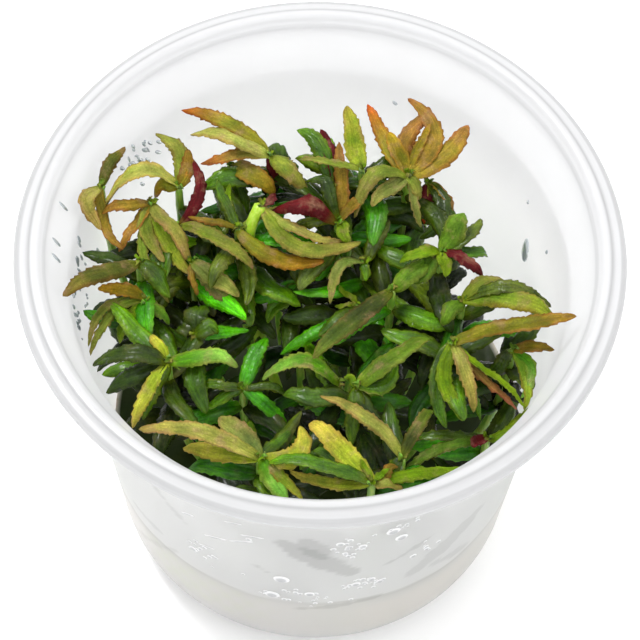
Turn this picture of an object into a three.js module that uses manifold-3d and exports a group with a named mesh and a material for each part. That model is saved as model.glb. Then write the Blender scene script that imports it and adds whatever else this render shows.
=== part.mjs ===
// A water plant grown from tissue culture, in the round plastic tub that it was raised in.
// Units are millimetres, +Z is up, and the origin is the middle of the tub's base.
// The tub holds a layer of gel, and separate leafy shoots stand in the gel.

import * as THREE from "three";
import { mergeVertices } from "three/addons/utils/BufferGeometryUtils.js";
import Module from "manifold-3d";

// Tub
const TUB_HEIGHT = 88;
const RIM_RADIUS = 52.5;
const FOOT_RADIUS = 25.5;
const CORNER_HEIGHT = 11;
const WALL_RADIUS_AT_BASE = 36.3;
const WALL_FLARE = 0.099;
const WALL_TOP = 77.5;
const WALL = 0.85;
const MOUTH_FLARE = 0.5;
const FLOOR = 1;
const TUB_SIDES = 48;

// Gel
const GEL_TOP = 27;
const STEM_FOOT_DEPTH = 9;
const GEL_GAP = 0.3;

// Shoots
const GAP = 0.45;
const STEM_RADIUS = 0.8;
const STEM_SIDES = 4;
const STEM_STEPS = 3;
const STEM_SPREAD = 0.58;
const STEM_BEND = 0.4;
const LEAF_START = 0.3;
const LEAF_THICKNESS = 0.45;
const LEAF_FOLD = 0.3;
const LONG_LEAF = 17;
const LONG_STATIONS = [0.18, 0.42, 0.64, 0.86];
const SHORT_STATIONS = [0.28, 0.74];
const WALL_CLEARANCE = 0.5;

// Older leaves lower down each stem
const LOWER_STATIONS = [0.45];
const LOWER_LEVELS = [6.5, 13.5, 21];
const LOWER_LEAVES = 3;
const LOWER_LENGTH = 13;
const LOWER_SHORTEST = 5;
const LOWER_RISE = 0.1;
const LOWER_ARCH = 2;
const LOWER_WIDTH = 4.4;
const LOWER_TURNS = 6;
const BACK_START = 6;
const BACK_REACH = 28;

// Each shoot: where its topmost bud is, then one row for each leaf round that bud.
// A row is the leaf tip's offset from the bud in x, y and z, how far the middle of the leaf
// bows up and to its left, and its width.
const SHOOTS = [
  { at: [-9.4, 20.7, 84], leaves: [
    [-16.2, 9, 0, 2.6, -0.6, 3],
    [-14.5, 5, -1, 3.5, 0, 3.6],
    [-12.4, -1, -2, 2, 0, 2.4],
    [7.1, -5.6, -3, 2.5, 0, 3.6],
    [1.2, -2.3, -5, 0.5, 0, 1.8],
  ] },
  { at: [-16.5, 20.9, 80], leaves: [
    [8.5, -5.5, 0, 2.5, 0, 3.8],
    [3, -7, -6, 1, 0, 2.4],
  ] },
  { at: [-25.2, 15.2, 81.5], leaves: [
    [1.2, 5, 4.5, 0, -0.8, 2.6],
    [3.4, 4.1, 1.5, 0.5, 0, 1.4],
    [-4.8, -0.7, -2.5, 3, 0, 2.8],
    [-4.2, 9, 2.5, 2.5, -2, 3],
    [-12.8, -3.6, -2.5, 6, -2, 3.4],
  ] },
  { at: [-14.5, 8.1, 80], leaves: [
    [-8.7, 2.3, -1, 1.5, 0, 1.6],
    [8.9, 4.4, 1, 0, 0, 1.5],
    [15.2, -5.1, -2, 0, -3, 3.4],
    [-4.1, 6.5, 5, 0, 0, 2.2],
    [-2, 5.9, 5, 0, 0.5, 1.6],
  ] },
  { at: [-29.8, 12.6, 80], leaves: [
    [-9, -2.4, 1, 1, 0, 2.2],
    [7.8, -10.3, -2, 2, 0, 3.2],
    [2.6, -9.4, -4, 0.5, -1.8, 2.8],
    [7.3, -11.2, -5, 0, -1, 3],
    [-5.4, -7.7, -4, 1, 0, 2.4],
    [4, -16.2, -6, 0, -3, 1.8],
  ] },
  { at: [-25.1, 9.3, 78], leaves: [
    [14.1, -7.9, 0, 3.5, 0, 2.8],
    [2.7, 8.7, 8, 0, -2.4, 2.4],
  ] },
  { at: [-38.8, 14.4, 82], leaves: [
    [3.8, 7.6, 0, 2, 0, 2.4],
    [0.4, -6.9, -3, 2, -2, 2.8],
    [4, -10.1, -5, 0, -1.5, 2.2],
  ] },
  { at: [-31.3, 0.6, 80], leaves: [
    [-12.3, -10, 5, 1.5, 0, 3.6],
    [5.7, -4.5, -4, 2, 0, 4],
  ] },
  { at: [-30.1, -4.7, 76], leaves: [
    [-8.2, 0.7, 2, 2.5, 0, 2.4],
    [-9.6, -8.6, -2, 2, -2.5, 1.8],
    [-9, -9.9, -3, 2, -2, 1.8],
    [4.5, -3.1, -3, 1, 0, 2.4],
    [-4.9, -5.7, -6, 1, 0, 2.2],
  ] },
  { at: [-25.5, -16.9, 76], leaves: [
    [-10.9, 11.6, 1, 1, 0, 3.8],
    [12.9, 0.9, -1, 3, 0, 3.2],
    [-6, -11.4, -3, 1.5, 0, 2.6],
    [-3.6, -9.8, -3, 1.5, 0, 3],
    [-13.2, -0.1, -2, 4, 0, 3.6],
    [-11, -4.1, -4, 1.5, 0, 3.8],
    [-3.6, 5.4, 1, 0.5, 0, 2.2],
  ] },
  { at: [-22.3, 2.7, 77], leaves: [
    [8.5, -5.5, -2, 1.5, 0, 3.4],
    [1.1, -5.3, -3, 0.5, 0, 1.4],
    [9.9, -8.3, -6, 1, 0, 2.4],
    [6.4, -2.5, -5, 1, 0, 1.8],
  ] },
  { at: [-21.3, -9.7, 73], leaves: [
    [0.7, 6.4, 0, 2, 0, 4.4],
    [4.1, 0.6, 1, 2.5, 0, 3.6],
    [9, 2.7, -3, 1, 0, 2.8],
    [-3, 2.5, 0, 1, 0, 3.4],
  ] },
  { at: [-10.5, 11.1, 83], leaves: [
    [2.9, 1.9, 0, 0.5, 0, 1.8],
    [17.5, -4, -4, 0, -4.5, 3.4],
    [14.6, -3.3, -5, 0, -2, 2],
  ] },
  { at: [-3.5, 4.5, 68], leaves: [
    [-9, -3.2, -1, 1.5, 0, 4],
    [-6.3, -6.4, -3, 1, 0, 3],
    [2.5, -4, -3, 1, 0, 2.6],
    [-2, 7, 2, 2, 0, 3],
  ] },
  { at: [-12.7, -17.1, 68], leaves: [
    [3.5, 10.1, 2, 1, 0, 3.2],
    [8.4, -0.3, -2, 1.5, 0, 1.8],
    [-6.3, -3.5, -2, 1, 0, 2.4],
    [8.2, -4.2, -5, 1, 0, 2.6],
    [-8.5, 1, -2, 1.5, 0, 2],
  ] },
  { at: [4.1, -16.9, 70], leaves: [
    [-13.4, 1.3, -2, 5, -1, 2.8],
    [-6.2, -3.5, -3, 1, 0, 2],
    [-3, 7, -4, 1, 0, 3],
  ] },
  { at: [6.7, -2.2, 72], leaves: [
    [-6.9, -6.3, 0, 1.5, 0, 3.4],
    [-13.7, -7.4, -4, 0.5, 0, 2.8],
    [-3.4, 3.5, 1, 0, 0, 1.2],
    [-3.8, 0.3, 0, 0.5, 0, 1.2],
  ] },
  { at: [12.6, -2.2, 78], leaves: [
    [-13.4, -12.9, -2, 1, 0, 3.6],
    [6.8, 4.7, 2, 2, 0, 4],
  ] },
  { at: [21, 3.7, 81.3], leaves: [
    [-8.2, -2, 0, 2, 0, 2.6],
    [1, -4.3, -1, 1.5, 0, 2.6],
    [3.4, 6.5, 4, 1, 0, 4.2],
    [-4.8, -5.2, -3, 1.5, 0, 3.4],
    [6.7, 7.4, 1, 0.5, -1, 3],
    [9.2, 1.9, -3, 1, 0, 2.6],
    [8.1, -3.6, -2, 2, 0, 2.4],
  ] },
  { at: [24.7, -4.3, 79], leaves: [
    [16.2, -4.3, 3, 4, 0, 4.4],
    [15.4, -1.5, 1, 5, 0, 2.6],
    [7.3, 3.3, 1, 2.5, 0, 3],
    [8.3, 1.1, 0, 3, 0, 3.2],
    [-3.6, -4.6, -2, 1.5, 0, 3],
  ] },
  { at: [23.1, -12.3, 78], leaves: [
    [20.6, 1.3, 8, 1, 0, 3.6],
    [2.3, -11.9, -6, 1, -2, 2.8],
    [3.8, -10.8, -5, 1.5, 0.7, 2.6],
    [-0.4, -12.4, -8, 1, -2.6, 3],
    [5.7, -10.6, -9, 1, 0, 1.8],
    [13.4, -9.5, -5, 1, 0, 1.4],
    [11.8, -9, -6, 0, 0, 1.6],
  ] },
  { at: [7, -20.3, 76], leaves: [
    [12.6, 9.3, 2, 2, 0, 4],
    [6.7, 4.8, -1, 1, -2, 3],
    [-2.3, 1.7, 1, 0.5, 0, 1.4],
    [4.5, -1.5, -1, 1, 0, 2],
    [-0.5, -8.1, -6, 1.5, 0, 3.4],
    [5, -8.3, -7, 1.5, 0, 3],
  ] },
  { at: [33.4, -12.8, 77], leaves: [
    [7, -0.7, 2, 1.5, 0, 2.6],
    [1.6, -7.1, -4, 0.5, 2.4, 1.8],
    [2.6, -9, -5, 0.5, 1.5, 2.2],
    [-5, -4, -6, 1, 0, 2.6],
  ] },
  { at: [29.8, -24.3, 66], leaves: [
    [-15.6, 0, -1, 2, 0, 2.2],
    [-14.6, -5.9, -1, 2, 0, 2.2],
    [7.2, 4.3, 4, 0, -1, 2.4],
    [-3, -2.5, 2, 1, 0, 2.4],
  ] },
  { at: [9.9, -39.1, 77], leaves: [
    [-11.1, 10.5, 2, 1, 0, 3.8],
    [-18.4, 3.8, 1, 3, 0, 3.2],
    [-13.8, 2.6, -1, 0, 1.5, 2.2],
    [15.6, 5.8, -5, 0.5, 0, 2.6],
    [5.1, 0.2, -2, 1, 0, 2.6],
    [4.3, 3.9, 0, 0.5, 0, 1.8],
    [-1.8, 3.4, 2, 0, 0, 1.2],
    [2.6, 1.8, 2, 0, 0, 1.2],
  ] },
  { at: [14.9, -33.9, 76], leaves: [
    [-14.1, 10.8, 1, 3, -1.5, 2.8],
    [-4, -2, -4, 1, 0, 2.4],
    [5.6, 11.7, -2, 3, 0, 2.4],
  ] },
  { at: [-9, -35.3, 77], leaves: [
    [-21, 5, 0, 4.5, 0, 3.4],
    [-13.5, 3.1, -2, 0.5, 0, 3.6],
    [4.6, -6.3, -3, 1, 0, 3.8],
    [7.1, -5.4, -4, 1, 0, 2.2],
    [-7.6, 8.5, -1, 0.5, 0, 4],
    [6.6, 6.7, 1, 0.5, -4.5, 3.6],
    [5, 7, -3, 0.5, 0, 2.2],
  ] },
  { at: [14.7, 17.6, 84], leaves: [
    [-7.5, 14, 2, 0, 1, 2.8],
    [-3.7, 7, 3, 0, 0, 3],
    [-6.3, -5.8, -1, 1, 0, 2.8],
    [2.4, -3.9, -2, 1, 0, 2.6],
    [-9.3, -6.8, -4, 4.5, -2.2, 3.6],
    [2.7, -8.2, -4, 1, 0, 1.8],
    [-0.4, 15, 2.5, 0.5, -4.5, 3.2],
    [3.2, 12.6, 2, 0, 2.8, 3.8],
    [3.6, 9.1, 3, 0, 0.5, 1.8],
    [10.8, 10.7, 2, 0.5, -1.5, 3.8],
  ] },
  { at: [6.7, 18.4, 84], leaves: [
    [-2.5, 11.4, 3, 0, 0, 3.8],
    [-11.5, 2.6, -1, 3, 0.8, 1.6],
  ] },
  { at: [1.6, 16.3, 82], leaves: [
    [-6.7, 9.7, 3, 1, -1.5, 3.4],
    [-2.8, 9.2, 3, 0.5, -0.8, 2.8],
    [-0.1, 9, 2, 0, 0, 2.4],
  ] },
  { at: [2.9, 10, 80], leaves: [
    [-11.2, 1, 1, 5.5, 0, 4.2],
    [-5.9, 7, 2, 5, -1.5, 3],
    [-0.3, 13, 6, 0, -0.5, 2.6],
    [2.2, -3.5, -2, 1, 0, 2.4],
    [4.4, 3.6, 3, 1, 0, 2.2],
    [-8.4, -0.3, -2, 2, 0, 2.6],
  ] },
  { at: [18.5, 18.9, 80], leaves: [
    [-1.4, -10, -3, 1, 3.2, 3],
    [0.9, -4.9, -3, 1, 0, 2.6],
    [4.9, -4.6, -2, 1, 0, 1.6],
    [-0.4, -6.5, -4, 0.5, 0, 1.4],
  ] },
  { at: [7.8, 4.5, 76], leaves: [
    [-5.5, -7.6, -2, 3, -1.8, 2.4],
    [0.3, -3.4, -1, 0.5, 0, 1.8],
    [4.1, 6.9, 3, 1, 0, 3],
    [-6, 6, 1, 1, 0, 3],
  ] },
];

// The shoot that leans over at its top, and the point that its stem bends towards
const LEANING_SHOOT = 13;
const LEANING_RADIUS = 1.15;
const LEANING_BEND = new THREE.Vector3(-17, 4, 79);

const TUB_COLOUR = 0xe9ebec;
const GEL_COLOUR = 0xd9d4cc;
const SHOOT_COLOURS = [0x5f8f2e, 0x7d8a3c, 0x4a8a26, 0x94803f];

const wasm = await Module();
wasm.setup();

const up = new THREE.Vector3(0, 0, 1);
const plant = new THREE.Group();

/** Adds one named mesh with its own material to the plant in its tub. */
function addMesh(name, geometry, color, finish) {
  const mesh = new THREE.Mesh(geometry, new THREE.MeshStandardMaterial({ color, ...finish }));
  mesh.name = name;
  plant.add(mesh);
}

/** A closed geometry as a solid that can be joined and cut. */
function toSolid(geometry) {
  const plain = geometry.clone();
  plain.deleteAttribute("normal");
  plain.deleteAttribute("uv");
  const merged = mergeVertices(plain, 1e-4);
  const vertProperties = new Float32Array(merged.attributes.position.array);
  const triVerts = new Uint32Array(merged.index.array);
  return new wasm.Manifold(new wasm.Mesh({ numProp: 3, vertProperties, triVerts }));
}

function toGeometry(solid) {
  const { vertProperties, triVerts } = solid.getMesh();
  const geometry = new THREE.BufferGeometry();
  geometry.setAttribute("position", new THREE.BufferAttribute(new Float32Array(vertProperties), 3));
  geometry.setIndex(new THREE.BufferAttribute(new Uint32Array(triVerts), 1));
  const flat = geometry.toNonIndexed();
  flat.computeVertexNormals();
  return flat;
}

function numbered(name, i) {
  return `${name}_${String(i + 1).padStart(2, "0")}`;
}

function join(solids) {
  return solids.reduce((whole, solid) => whole.add(solid));
}

/** The largest of the pieces that a cut leaves. */
function mainPiece(solid) {
  const pieces = solid.decompose();
  return pieces.reduce((best, piece) => (piece.volume() > best.volume() ? piece : best));
}

/** A shape turned round the Z axis from [radius, height] points. */
function turned(points, sides) {
  const profile = points.map(([radius, height]) => new THREE.Vector2(radius, height));
  return new THREE.LatheGeometry(profile, sides).rotateX(Math.PI / 2);
}

/** Points on a rounded corner, from flat at its start to upright at its end. */
function corner(startRadius, startHeight, endRadius, endHeight, steps) {
  return Array.from({ length: steps + 1 }, (_, i) => {
    const angle = (i / steps) * (Math.PI / 2);
    return [
      startRadius + (endRadius - startRadius) * Math.sin(angle),
      startHeight + (endHeight - startHeight) * (1 - Math.cos(angle)),
    ];
  });
}

function outerRadius(z) {
  return WALL_RADIUS_AT_BASE + WALL_FLARE * z;
}

/** The inside radius of the tub at height z, which opens out below the rim. */
function innerRadius(z) {
  const wall = outerRadius(Math.min(z, WALL_TOP)) - WALL;
  return wall + Math.max(0, z - WALL_TOP) * MOUTH_FLARE;
}

function tub() {
  const outside = corner(FOOT_RADIUS, 0, outerRadius(CORNER_HEIGHT), CORNER_HEIGHT, 5);
  const inside = corner(FOOT_RADIUS, FLOOR, innerRadius(CORNER_HEIGHT), CORNER_HEIGHT, 5);
  const top = TUB_HEIGHT;
  const rim = [
    [outerRadius(WALL_TOP), WALL_TOP],
    [45.25, top - 8],
    [46.8, top - 5],
    [48.2, top - 2.8],
    [50.9, top - 2.6],
    [51.4, top - 3],
    [52.1, top - 2.9],
    [RIM_RADIUS, top - 2.2],
    [RIM_RADIUS, top - 1.4],
    [51.8, top - 0.8],
    [50.3, top - 0.5],
    [49.6, top],
    [48.4, top],
    [47.7, top - 1.3],
    [47.25, top - 1.8],
    [innerRadius(top - 3.4), top - 3.4],
    [innerRadius(WALL_TOP), WALL_TOP],
  ];
  return turned([[0, 0], ...outside, ...rim, ...inside.reverse(), [0, FLOOR]], TUB_SIDES);
}

function gel() {
  const under = corner(
    FOOT_RADIUS - GEL_GAP, FLOOR + GEL_GAP, innerRadius(CORNER_HEIGHT) - WALL_CLEARANCE, CORNER_HEIGHT + GEL_GAP, 4,
  );
  const edge = innerRadius(GEL_TOP) - WALL_CLEARANCE;
  return turned([[0, FLOOR + GEL_GAP], ...under, [edge, GEL_TOP], [0, GEL_TOP]], TUB_SIDES);
}

/** Half a leaf's width at t from its base, as a share of its full width. */
function leafOutline(t) {
  return (Math.sin(Math.PI * t ** 0.9) ** 0.5 + 0.15 * (1 - t)) / 2.15;
}

/** The point moved in towards the tub's axis where it would touch the wall. */
function keptInside(point) {
  const limit = innerRadius(point.z) - WALL_CLEARANCE;
  const radius = Math.hypot(point.x, point.y);
  if (radius > limit) {
    point.x *= limit / radius;
    point.y *= limit / radius;
  }
  return point;
}

/** The level direction that a leaf heads in. */
function headingOf([x, y]) {
  return new THREE.Vector3(x, y, 0).normalize();
}

/** How far the middle of a leaf bows away from the straight line to its tip. */
function bowOf(leaf) {
  const heading = headingOf(leaf);
  return new THREE.Vector3(-heading.y, heading.x, 0).multiplyScalar(leaf[4]).addScaledVector(up, leaf[3]);
}

/** The point on a leaf's midline at t from its base. */
function midline(from, leaf, t) {
  const reach = new THREE.Vector3(leaf[0], leaf[1], leaf[2]);
  return from.clone().addScaledVector(reach, t).addScaledVector(bowOf(leaf), 4 * t * (1 - t));
}

/** A folded leaf blade with a keel below its middle. grow makes it larger all round. */
function blade(from, leaf, stations, grow = 0) {
  const reach = new THREE.Vector3(leaf[0], leaf[1], leaf[2]);
  const heading = headingOf(leaf);
  const toRight = new THREE.Vector3(heading.y, -heading.x, 0);
  const at = (t) => midline(from, leaf, t);
  const along = (t) => reach.clone().addScaledVector(bowOf(leaf), 4 * (1 - 2 * t)).normalize();

  const corners = [at(0).addScaledVector(along(0), LEAF_START - grow)];
  for (const t of stations) {
    const direction = along(t);
    const side = toRight.clone().addScaledVector(direction, -toRight.dot(direction)).normalize();
    const lift = side.clone().cross(direction);
    const half = leafOutline(t) * leaf[5];
    const edge = (sign) => keptInside(
      at(t).addScaledVector(side, sign * (half + grow)).addScaledVector(lift, LEAF_FOLD * half + grow),
    );
    const keel = at(t).addScaledVector(lift, -LEAF_THICKNESS - grow);
    corners.push(edge(1), edge(-1), keptInside(keel));
  }
  corners.push(keptInside(at(1).addScaledVector(along(1), grow)));

  const faces = [];
  const last = corners.length - 1;
  for (let k = 0; k < 3; k++) {
    const next = (k + 1) % 3;
    faces.push([0, 1 + k, 1 + next]);
    for (let s = 0; s < stations.length - 1; s++) {
      const near = 1 + 3 * s;
      const far = near + 3;
      faces.push([near + k, far + k, far + next], [near + k, far + next, near + next]);
    }
    faces.push([last, last - 3 + next, last - 3 + k]);
  }
  const geometry = new THREE.BufferGeometry();
  const points = corners.flatMap((point) => point.toArray());
  geometry.setAttribute("position", new THREE.Float32BufferAttribute(points, 3));
  geometry.setIndex(faces.flat());
  return toSolid(geometry);
}

function tube(curve, radius, steps) {
  const corners = Array.from({ length: STEM_SIDES }, (_, i) => {
    const angle = (i / STEM_SIDES) * 2 * Math.PI;
    return new THREE.Vector2(radius * Math.cos(angle), radius * Math.sin(angle));
  });
  return toSolid(new THREE.ExtrudeGeometry(new THREE.Shape(corners), { steps, extrudePath: curve }));
}

/** The curve of a stem from its foot in the gel to its topmost bud. */
function stemCurve(top, number) {
  const foot = new THREE.Vector3(top.x * STEM_SPREAD, top.y * STEM_SPREAD, GEL_TOP - STEM_FOOT_DEPTH);
  const upright = new THREE.Vector3(top.x, top.y, foot.z + STEM_BEND * (top.z - foot.z));
  return new THREE.QuadraticBezierCurve3(foot, number === LEANING_SHOOT ? LEANING_BEND : upright, top);
}

/** Points spread along a leaf or a stem, for measuring how close another leaf comes. */
function leafPoints(from, leaf) {
  return [0.25, 0.5, 0.75, 1].map((t) => midline(from, leaf, t));
}

/** The leaves of one lower whorl, turned so that they stand clear of the points given. */
function lowerWhorl(from, others) {
  let best = null;
  for (let turn = 0; turn < LOWER_TURNS; turn++) {
    const leaves = [];
    for (let i = 0; i < LOWER_LEAVES; i++) {
      const heading = ((i + turn / LOWER_TURNS) / LOWER_LEAVES) * 2 * Math.PI;
      const leaf = leafThatFits(from, heading);
      if (leaf) leaves.push(leaf);
    }
    const points = leaves.flatMap((leaf) => leafPoints(from, leaf));
    const clear = Math.min(...points.map((p) => Math.min(9, ...others.map((q) => p.distanceTo(q)))));
    const score = clear + leaves.length;
    if (!best || score > best.score) best = { score, leaves };
  }
  return best.leaves;
}

/** A lower leaf with this heading, shortened until its tip is inside the tub and, at the back, inside the tuft. */
function leafThatFits(from, heading) {
  for (let length = LOWER_LENGTH; length >= LOWER_SHORTEST; length -= 1) {
    const x = length * Math.cos(heading);
    const y = length * Math.sin(heading);
    const tip = from.clone().add(new THREE.Vector3(x, y, LOWER_RISE * length));
    const toWall = innerRadius(tip.z) - 2 * WALL_CLEARANCE;
    const limit = tip.y > BACK_START ? Math.min(toWall, BACK_REACH) : toWall;
    if (Math.hypot(tip.x, tip.y) < limit) {
      return [x, y, LOWER_RISE * length, LOWER_ARCH, 0, LOWER_WIDTH];
    }
  }
  return null;
}

const shoots = SHOOTS.map(({ at, leaves }, i) => {
  const top = new THREE.Vector3(...at);
  const radius = i + 1 === LEANING_SHOOT ? LEANING_RADIUS : STEM_RADIUS;
  return { top, leaves, curve: stemCurve(top, i + 1), radius };
});

// Points on every top leaf and stem, which the lower leaves are turned away from
const guides = shoots.map(({ top, leaves, curve }) => [
  ...leaves.flatMap((leaf) => leafPoints(top, leaf)), ...curve.getPoints(12),
]);
for (const [i, shoot] of shoots.entries()) {
  shoot.lower = LOWER_LEVELS.map((drop) => {
    const height = shoot.top.z - drop;
    const from = shoot.curve.getPoints(60).find((point) => point.z >= height);
    const others = guides.filter((_, k) => k !== i).flat();
    const leaves = lowerWhorl(from, others);
    guides[i].push(...leaves.flatMap((leaf) => leafPoints(from, leaf)));
    return { from, leaves };
  });
}

function stemSolid({ curve, radius }, grow = 0) {
  return tube(curve, radius + grow, STEM_STEPS);
}

function topLeaves({ top, leaves }, grow = 0) {
  return leaves.map((leaf) => {
    const isLong = Math.hypot(leaf[0], leaf[1], leaf[2]) > LONG_LEAF;
    return blade(top, leaf, isLong ? LONG_STATIONS : SHORT_STATIONS, grow);
  });
}

function lowerBlades({ lower }, grow = 0) {
  return lower.flatMap(({ from, leaves }) => leaves.map((leaf) => blade(from, leaf, LOWER_STATIONS, grow)));
}

// Each shoot gives way to the shoots before it, and its lower leaves give way to every stem and top leaf.
const uppers = shoots.map((shoot) => join([stemSolid(shoot), ...topLeaves(shoot)]));
const upperRooms = shoots.map((shoot) => join([stemSolid(shoot, GAP), ...topLeaves(shoot, GAP)]));
const lowerRooms = [];
const grown = shoots.map((shoot, i) => {
  const upper = i > 0 ? uppers[i].subtract(join(upperRooms.slice(0, i))) : uppers[0];
  const blades = lowerBlades(shoot);
  if (!blades.length) return mainPiece(upper);
  const others = [...upperRooms.filter((_, k) => k !== i), ...lowerRooms];
  const lower = join(blades).subtract(join(others));
  lowerRooms.push(join(lowerBlades(shoot, GAP)));
  return mainPiece(upper.add(lower));
});

addMesh("tub", tub(), TUB_COLOUR, { roughness: 0.35, metalness: 0, transparent: true, opacity: 0.6 });
const pockets = join(shoots.map((shoot) => stemSolid(shoot, GAP)));
addMesh("gel", toGeometry(toSolid(gel()).subtract(pockets)), GEL_COLOUR, { roughness: 0.2, metalness: 0 });
grown.forEach((solid, i) => {
  const color = SHOOT_COLOURS[i % SHOOT_COLOURS.length];
  addMesh(numbered("shoot", i), toGeometry(solid), color, { roughness: 0.55, metalness: 0 });
});

export default plant;
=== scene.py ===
"""A water plant grown from tissue culture, in the round milky tub that it was raised in.

Lengths in this script are millimetres until the last step of making a mesh, which turns them
into metres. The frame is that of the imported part: +Z up, origin at the middle of the tub's base.
The tub's front is at -Y, so angles round the tub are near -90 degrees there and near 90 at the back.
"""

import math

import bpy
import numpy as np
from mathutils import Matrix


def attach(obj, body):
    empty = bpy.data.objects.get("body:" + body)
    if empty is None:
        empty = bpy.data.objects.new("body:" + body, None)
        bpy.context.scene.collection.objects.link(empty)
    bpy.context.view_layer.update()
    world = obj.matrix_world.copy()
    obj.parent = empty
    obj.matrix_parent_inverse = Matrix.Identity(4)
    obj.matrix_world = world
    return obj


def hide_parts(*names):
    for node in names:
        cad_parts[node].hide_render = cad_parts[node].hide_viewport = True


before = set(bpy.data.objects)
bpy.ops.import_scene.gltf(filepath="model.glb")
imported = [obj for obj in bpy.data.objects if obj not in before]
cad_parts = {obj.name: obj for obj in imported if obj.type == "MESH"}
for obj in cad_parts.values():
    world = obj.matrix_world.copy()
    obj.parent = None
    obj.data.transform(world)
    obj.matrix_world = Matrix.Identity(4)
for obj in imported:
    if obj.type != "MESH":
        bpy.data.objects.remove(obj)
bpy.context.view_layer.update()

MM = 0.001
rng = np.random.default_rng(7)

# Tub, as in the solids
TUB_HEIGHT = 88
RIM_RADIUS = 52.5
FOOT_RADIUS = 25.5
CORNER_HEIGHT = 11
WALL_RADIUS_AT_BASE = 36.3
WALL_FLARE = 0.099
WALL_TOP = 77.5
WALL = 0.85
MOUTH_FLARE = 0.5
INNER_FLOOR = 1
TUB_SIDES = 300

# Looks of the tub's plastic: how clear it is, how much it glows, how light painted shade leaves the rim and
# the mouth, how much painted shade darkens the front and how much red and green the rim and the mouth lose
TUB_CLEARNESS = 0.55
TUB_GLOW = 0.42
RIM_PAINTED_SHADE_TINT = 0.81
MOUTH_PAINTED_SHADE_TINT = 0.8
FRONT_SHADE = 0.2
COOL_SHADE = np.array([0.012, 0.009, 0])

# Painted shade that shows the rim's grooves grey: radius, half width and how dark
RIM_GROOVE_PAINTED_SHADES = (
    (47.35, 0.15, 0.14), (49.75, 0.15, 0.2), (50.15, 0.2, 0.08), (51.75, 0.2, 0.18), (52.3, 0.15, 0.1),
)

# Gel. Its upper face carries painted shade, dark under the dense shoots.
GEL_TOP = 27
GEL_GAP = 0.3
GEL_DIP = 0.9
GEL_SIDES = 120
GEL_TOP_PAINTED_SHADE = (0.03, 0.05, 0.01)

# The gel as it shows through the wall, and the painted shade of the wall's foot and of the lower leaves on
# the wall
GEL_CREAM = np.array([0.95, 0.942, 0.937])
GEL_GREEN = np.array([0.92, 0.935, 0.87])
GEL_PINK = np.array([0.96, 0.935, 0.92])
FOOT_SHADE = np.array([0.07, 0.05, 0.02])
LEAVES_SHADE = np.array([0.08, 0.065, 0.08])

# Shoots, as in the solids
STEM_RADIUS = 0.8
STEM_SPREAD = 0.58
STEM_BEND = 0.4
STEM_FOOT_DEPTH = 9
LEANING_SHOOT = 13
LEANING_BEND = (-17, 4, 79)
LEANING_RADIUS = 1.15
LEAF_FOLD = 0.3
WALL_CLEARANCE = 0.5
LOWER_LEVELS = (6.5, 13.5, 21)
LOWER_LEAVES = 3
LOWER_LENGTH = 13
LOWER_SHORTEST = 5
LOWER_RISE = 0.1
LOWER_ARCH = 2
LOWER_WIDTH = 4.4
LOWER_TURNS = 6
BACK_START = 6
BACK_REACH = 28

# Stems: rows and sides of their meshes, swelling at each whorl, taper and colours (sRGB, 0 to 255)
STEM_ROWS = 40
STEM_SIDES = 12
LOWEST_NODE = 28
NODE_SWELL = 0.22
NODE_HEIGHT = 0.7
STEM_TAPER = 0.12
STEM_COLOUR = (104, 150, 40)
LEANING_COLOUR = (150, 190, 30)

# Leaf blades: their teeth, each highest at TOOTH_PEAK of its length, their thickness, and their mesh's
# spacing of rows and number of columns
TOOTH_SPACING = 1.4
TOOTH_PEAK = 0.86
TOOTH_DEPTH = 0.43
MIDRIB_THICKNESS = 0.3
EDGE_THICKNESS = 0.1
TOP_SPACING, TOP_COLUMNS = 0.24, 11
LOWER_SPACING, LOWER_COLUMNS = 0.44, 9
BUD_LEAVES = 3
BUD_TONES = ("lime", "sage", "pale", "frost")

# Slots of the materials on a shoot
STEM_SLOT, DRY_SLOT, WET_SLOT = range(3)

# Beads of water on the front of the wall: angle round the tub in degrees, height and half width
BEADS = (
    (-97.2, 39.2, 1.5), (-99.8, 30.3, 1.4), (-96.5, 28.7, 0.6), (-83, 58.2, 0.8), (-80.7, 59.7, 0.6),
    (-77.5, 55.8, 0.8), (-84.6, 55.9, 0.6), (-81.5, 52.9, 0.5), (-79.7, 50.9, 0.5), (-70.4, 60, 1.3),
    (-67.9, 55.6, 1.2), (-121.5, 38.8, 0.9), (-120.3, 39.6, 0.5), (-104.9, 56.3, 0.6), (-107.3, 37.3, 0.4),
    (-78, 36.4, 0.9), (-76.3, 38.5, 0.6), (-74, 37.6, 0.8), (-71.6, 35.4, 0.8), (-89.8, 32.6, 1.0),
    (-84.3, 28, 0.5), (-78.8, 28.6, 0.5), (-63.3, 43.1, 0.7), (-116.6, 39.3, 0.5), (-118.2, 37.4, 0.45),
    (-76.8, 34.2, 0.5), (-73.1, 33.1, 0.45), (-75, 60.4, 0.45), (-81, 56.6, 0.4), (-64.5, 61.5, 0.5),
)

# Clusters of very small beads among them: angle, height, reach in degrees and in height, and their number
BEAD_CLUSTERS = (
    (-80.5, 56, 5.5, 4, 16), (-75, 36.5, 6, 3.5, 16), (-68, 61, 5, 3, 10), (-98, 33, 6, 4, 12),
    (-88, 31, 6, 3, 10), (-119, 41, 5, 5, 10), (-60, 45, 5, 4, 8),
)

# Wet streaks on the front of the wall: angle, height, half length, half thickness and lean in degrees
STREAKS = (
    (-121, 56, 1.6, 0.3, -30), (-114, 51, 2.6, 0.35, -28), (-108.5, 62, 1.8, 0.25, -20),
    (-104, 58, 2.2, 0.3, -14), (-107, 54, 2.8, 0.3, -35), (-60, 66, 1.6, 0.3, 40), (-56, 70, 1.6, 0.25, 42),
    (-65, 64.5, 1.4, 0.3, 30), (-52, 63, 2.0, 0.25, 46), (-117, 44, 1.8, 0.25, -20),
)

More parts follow.
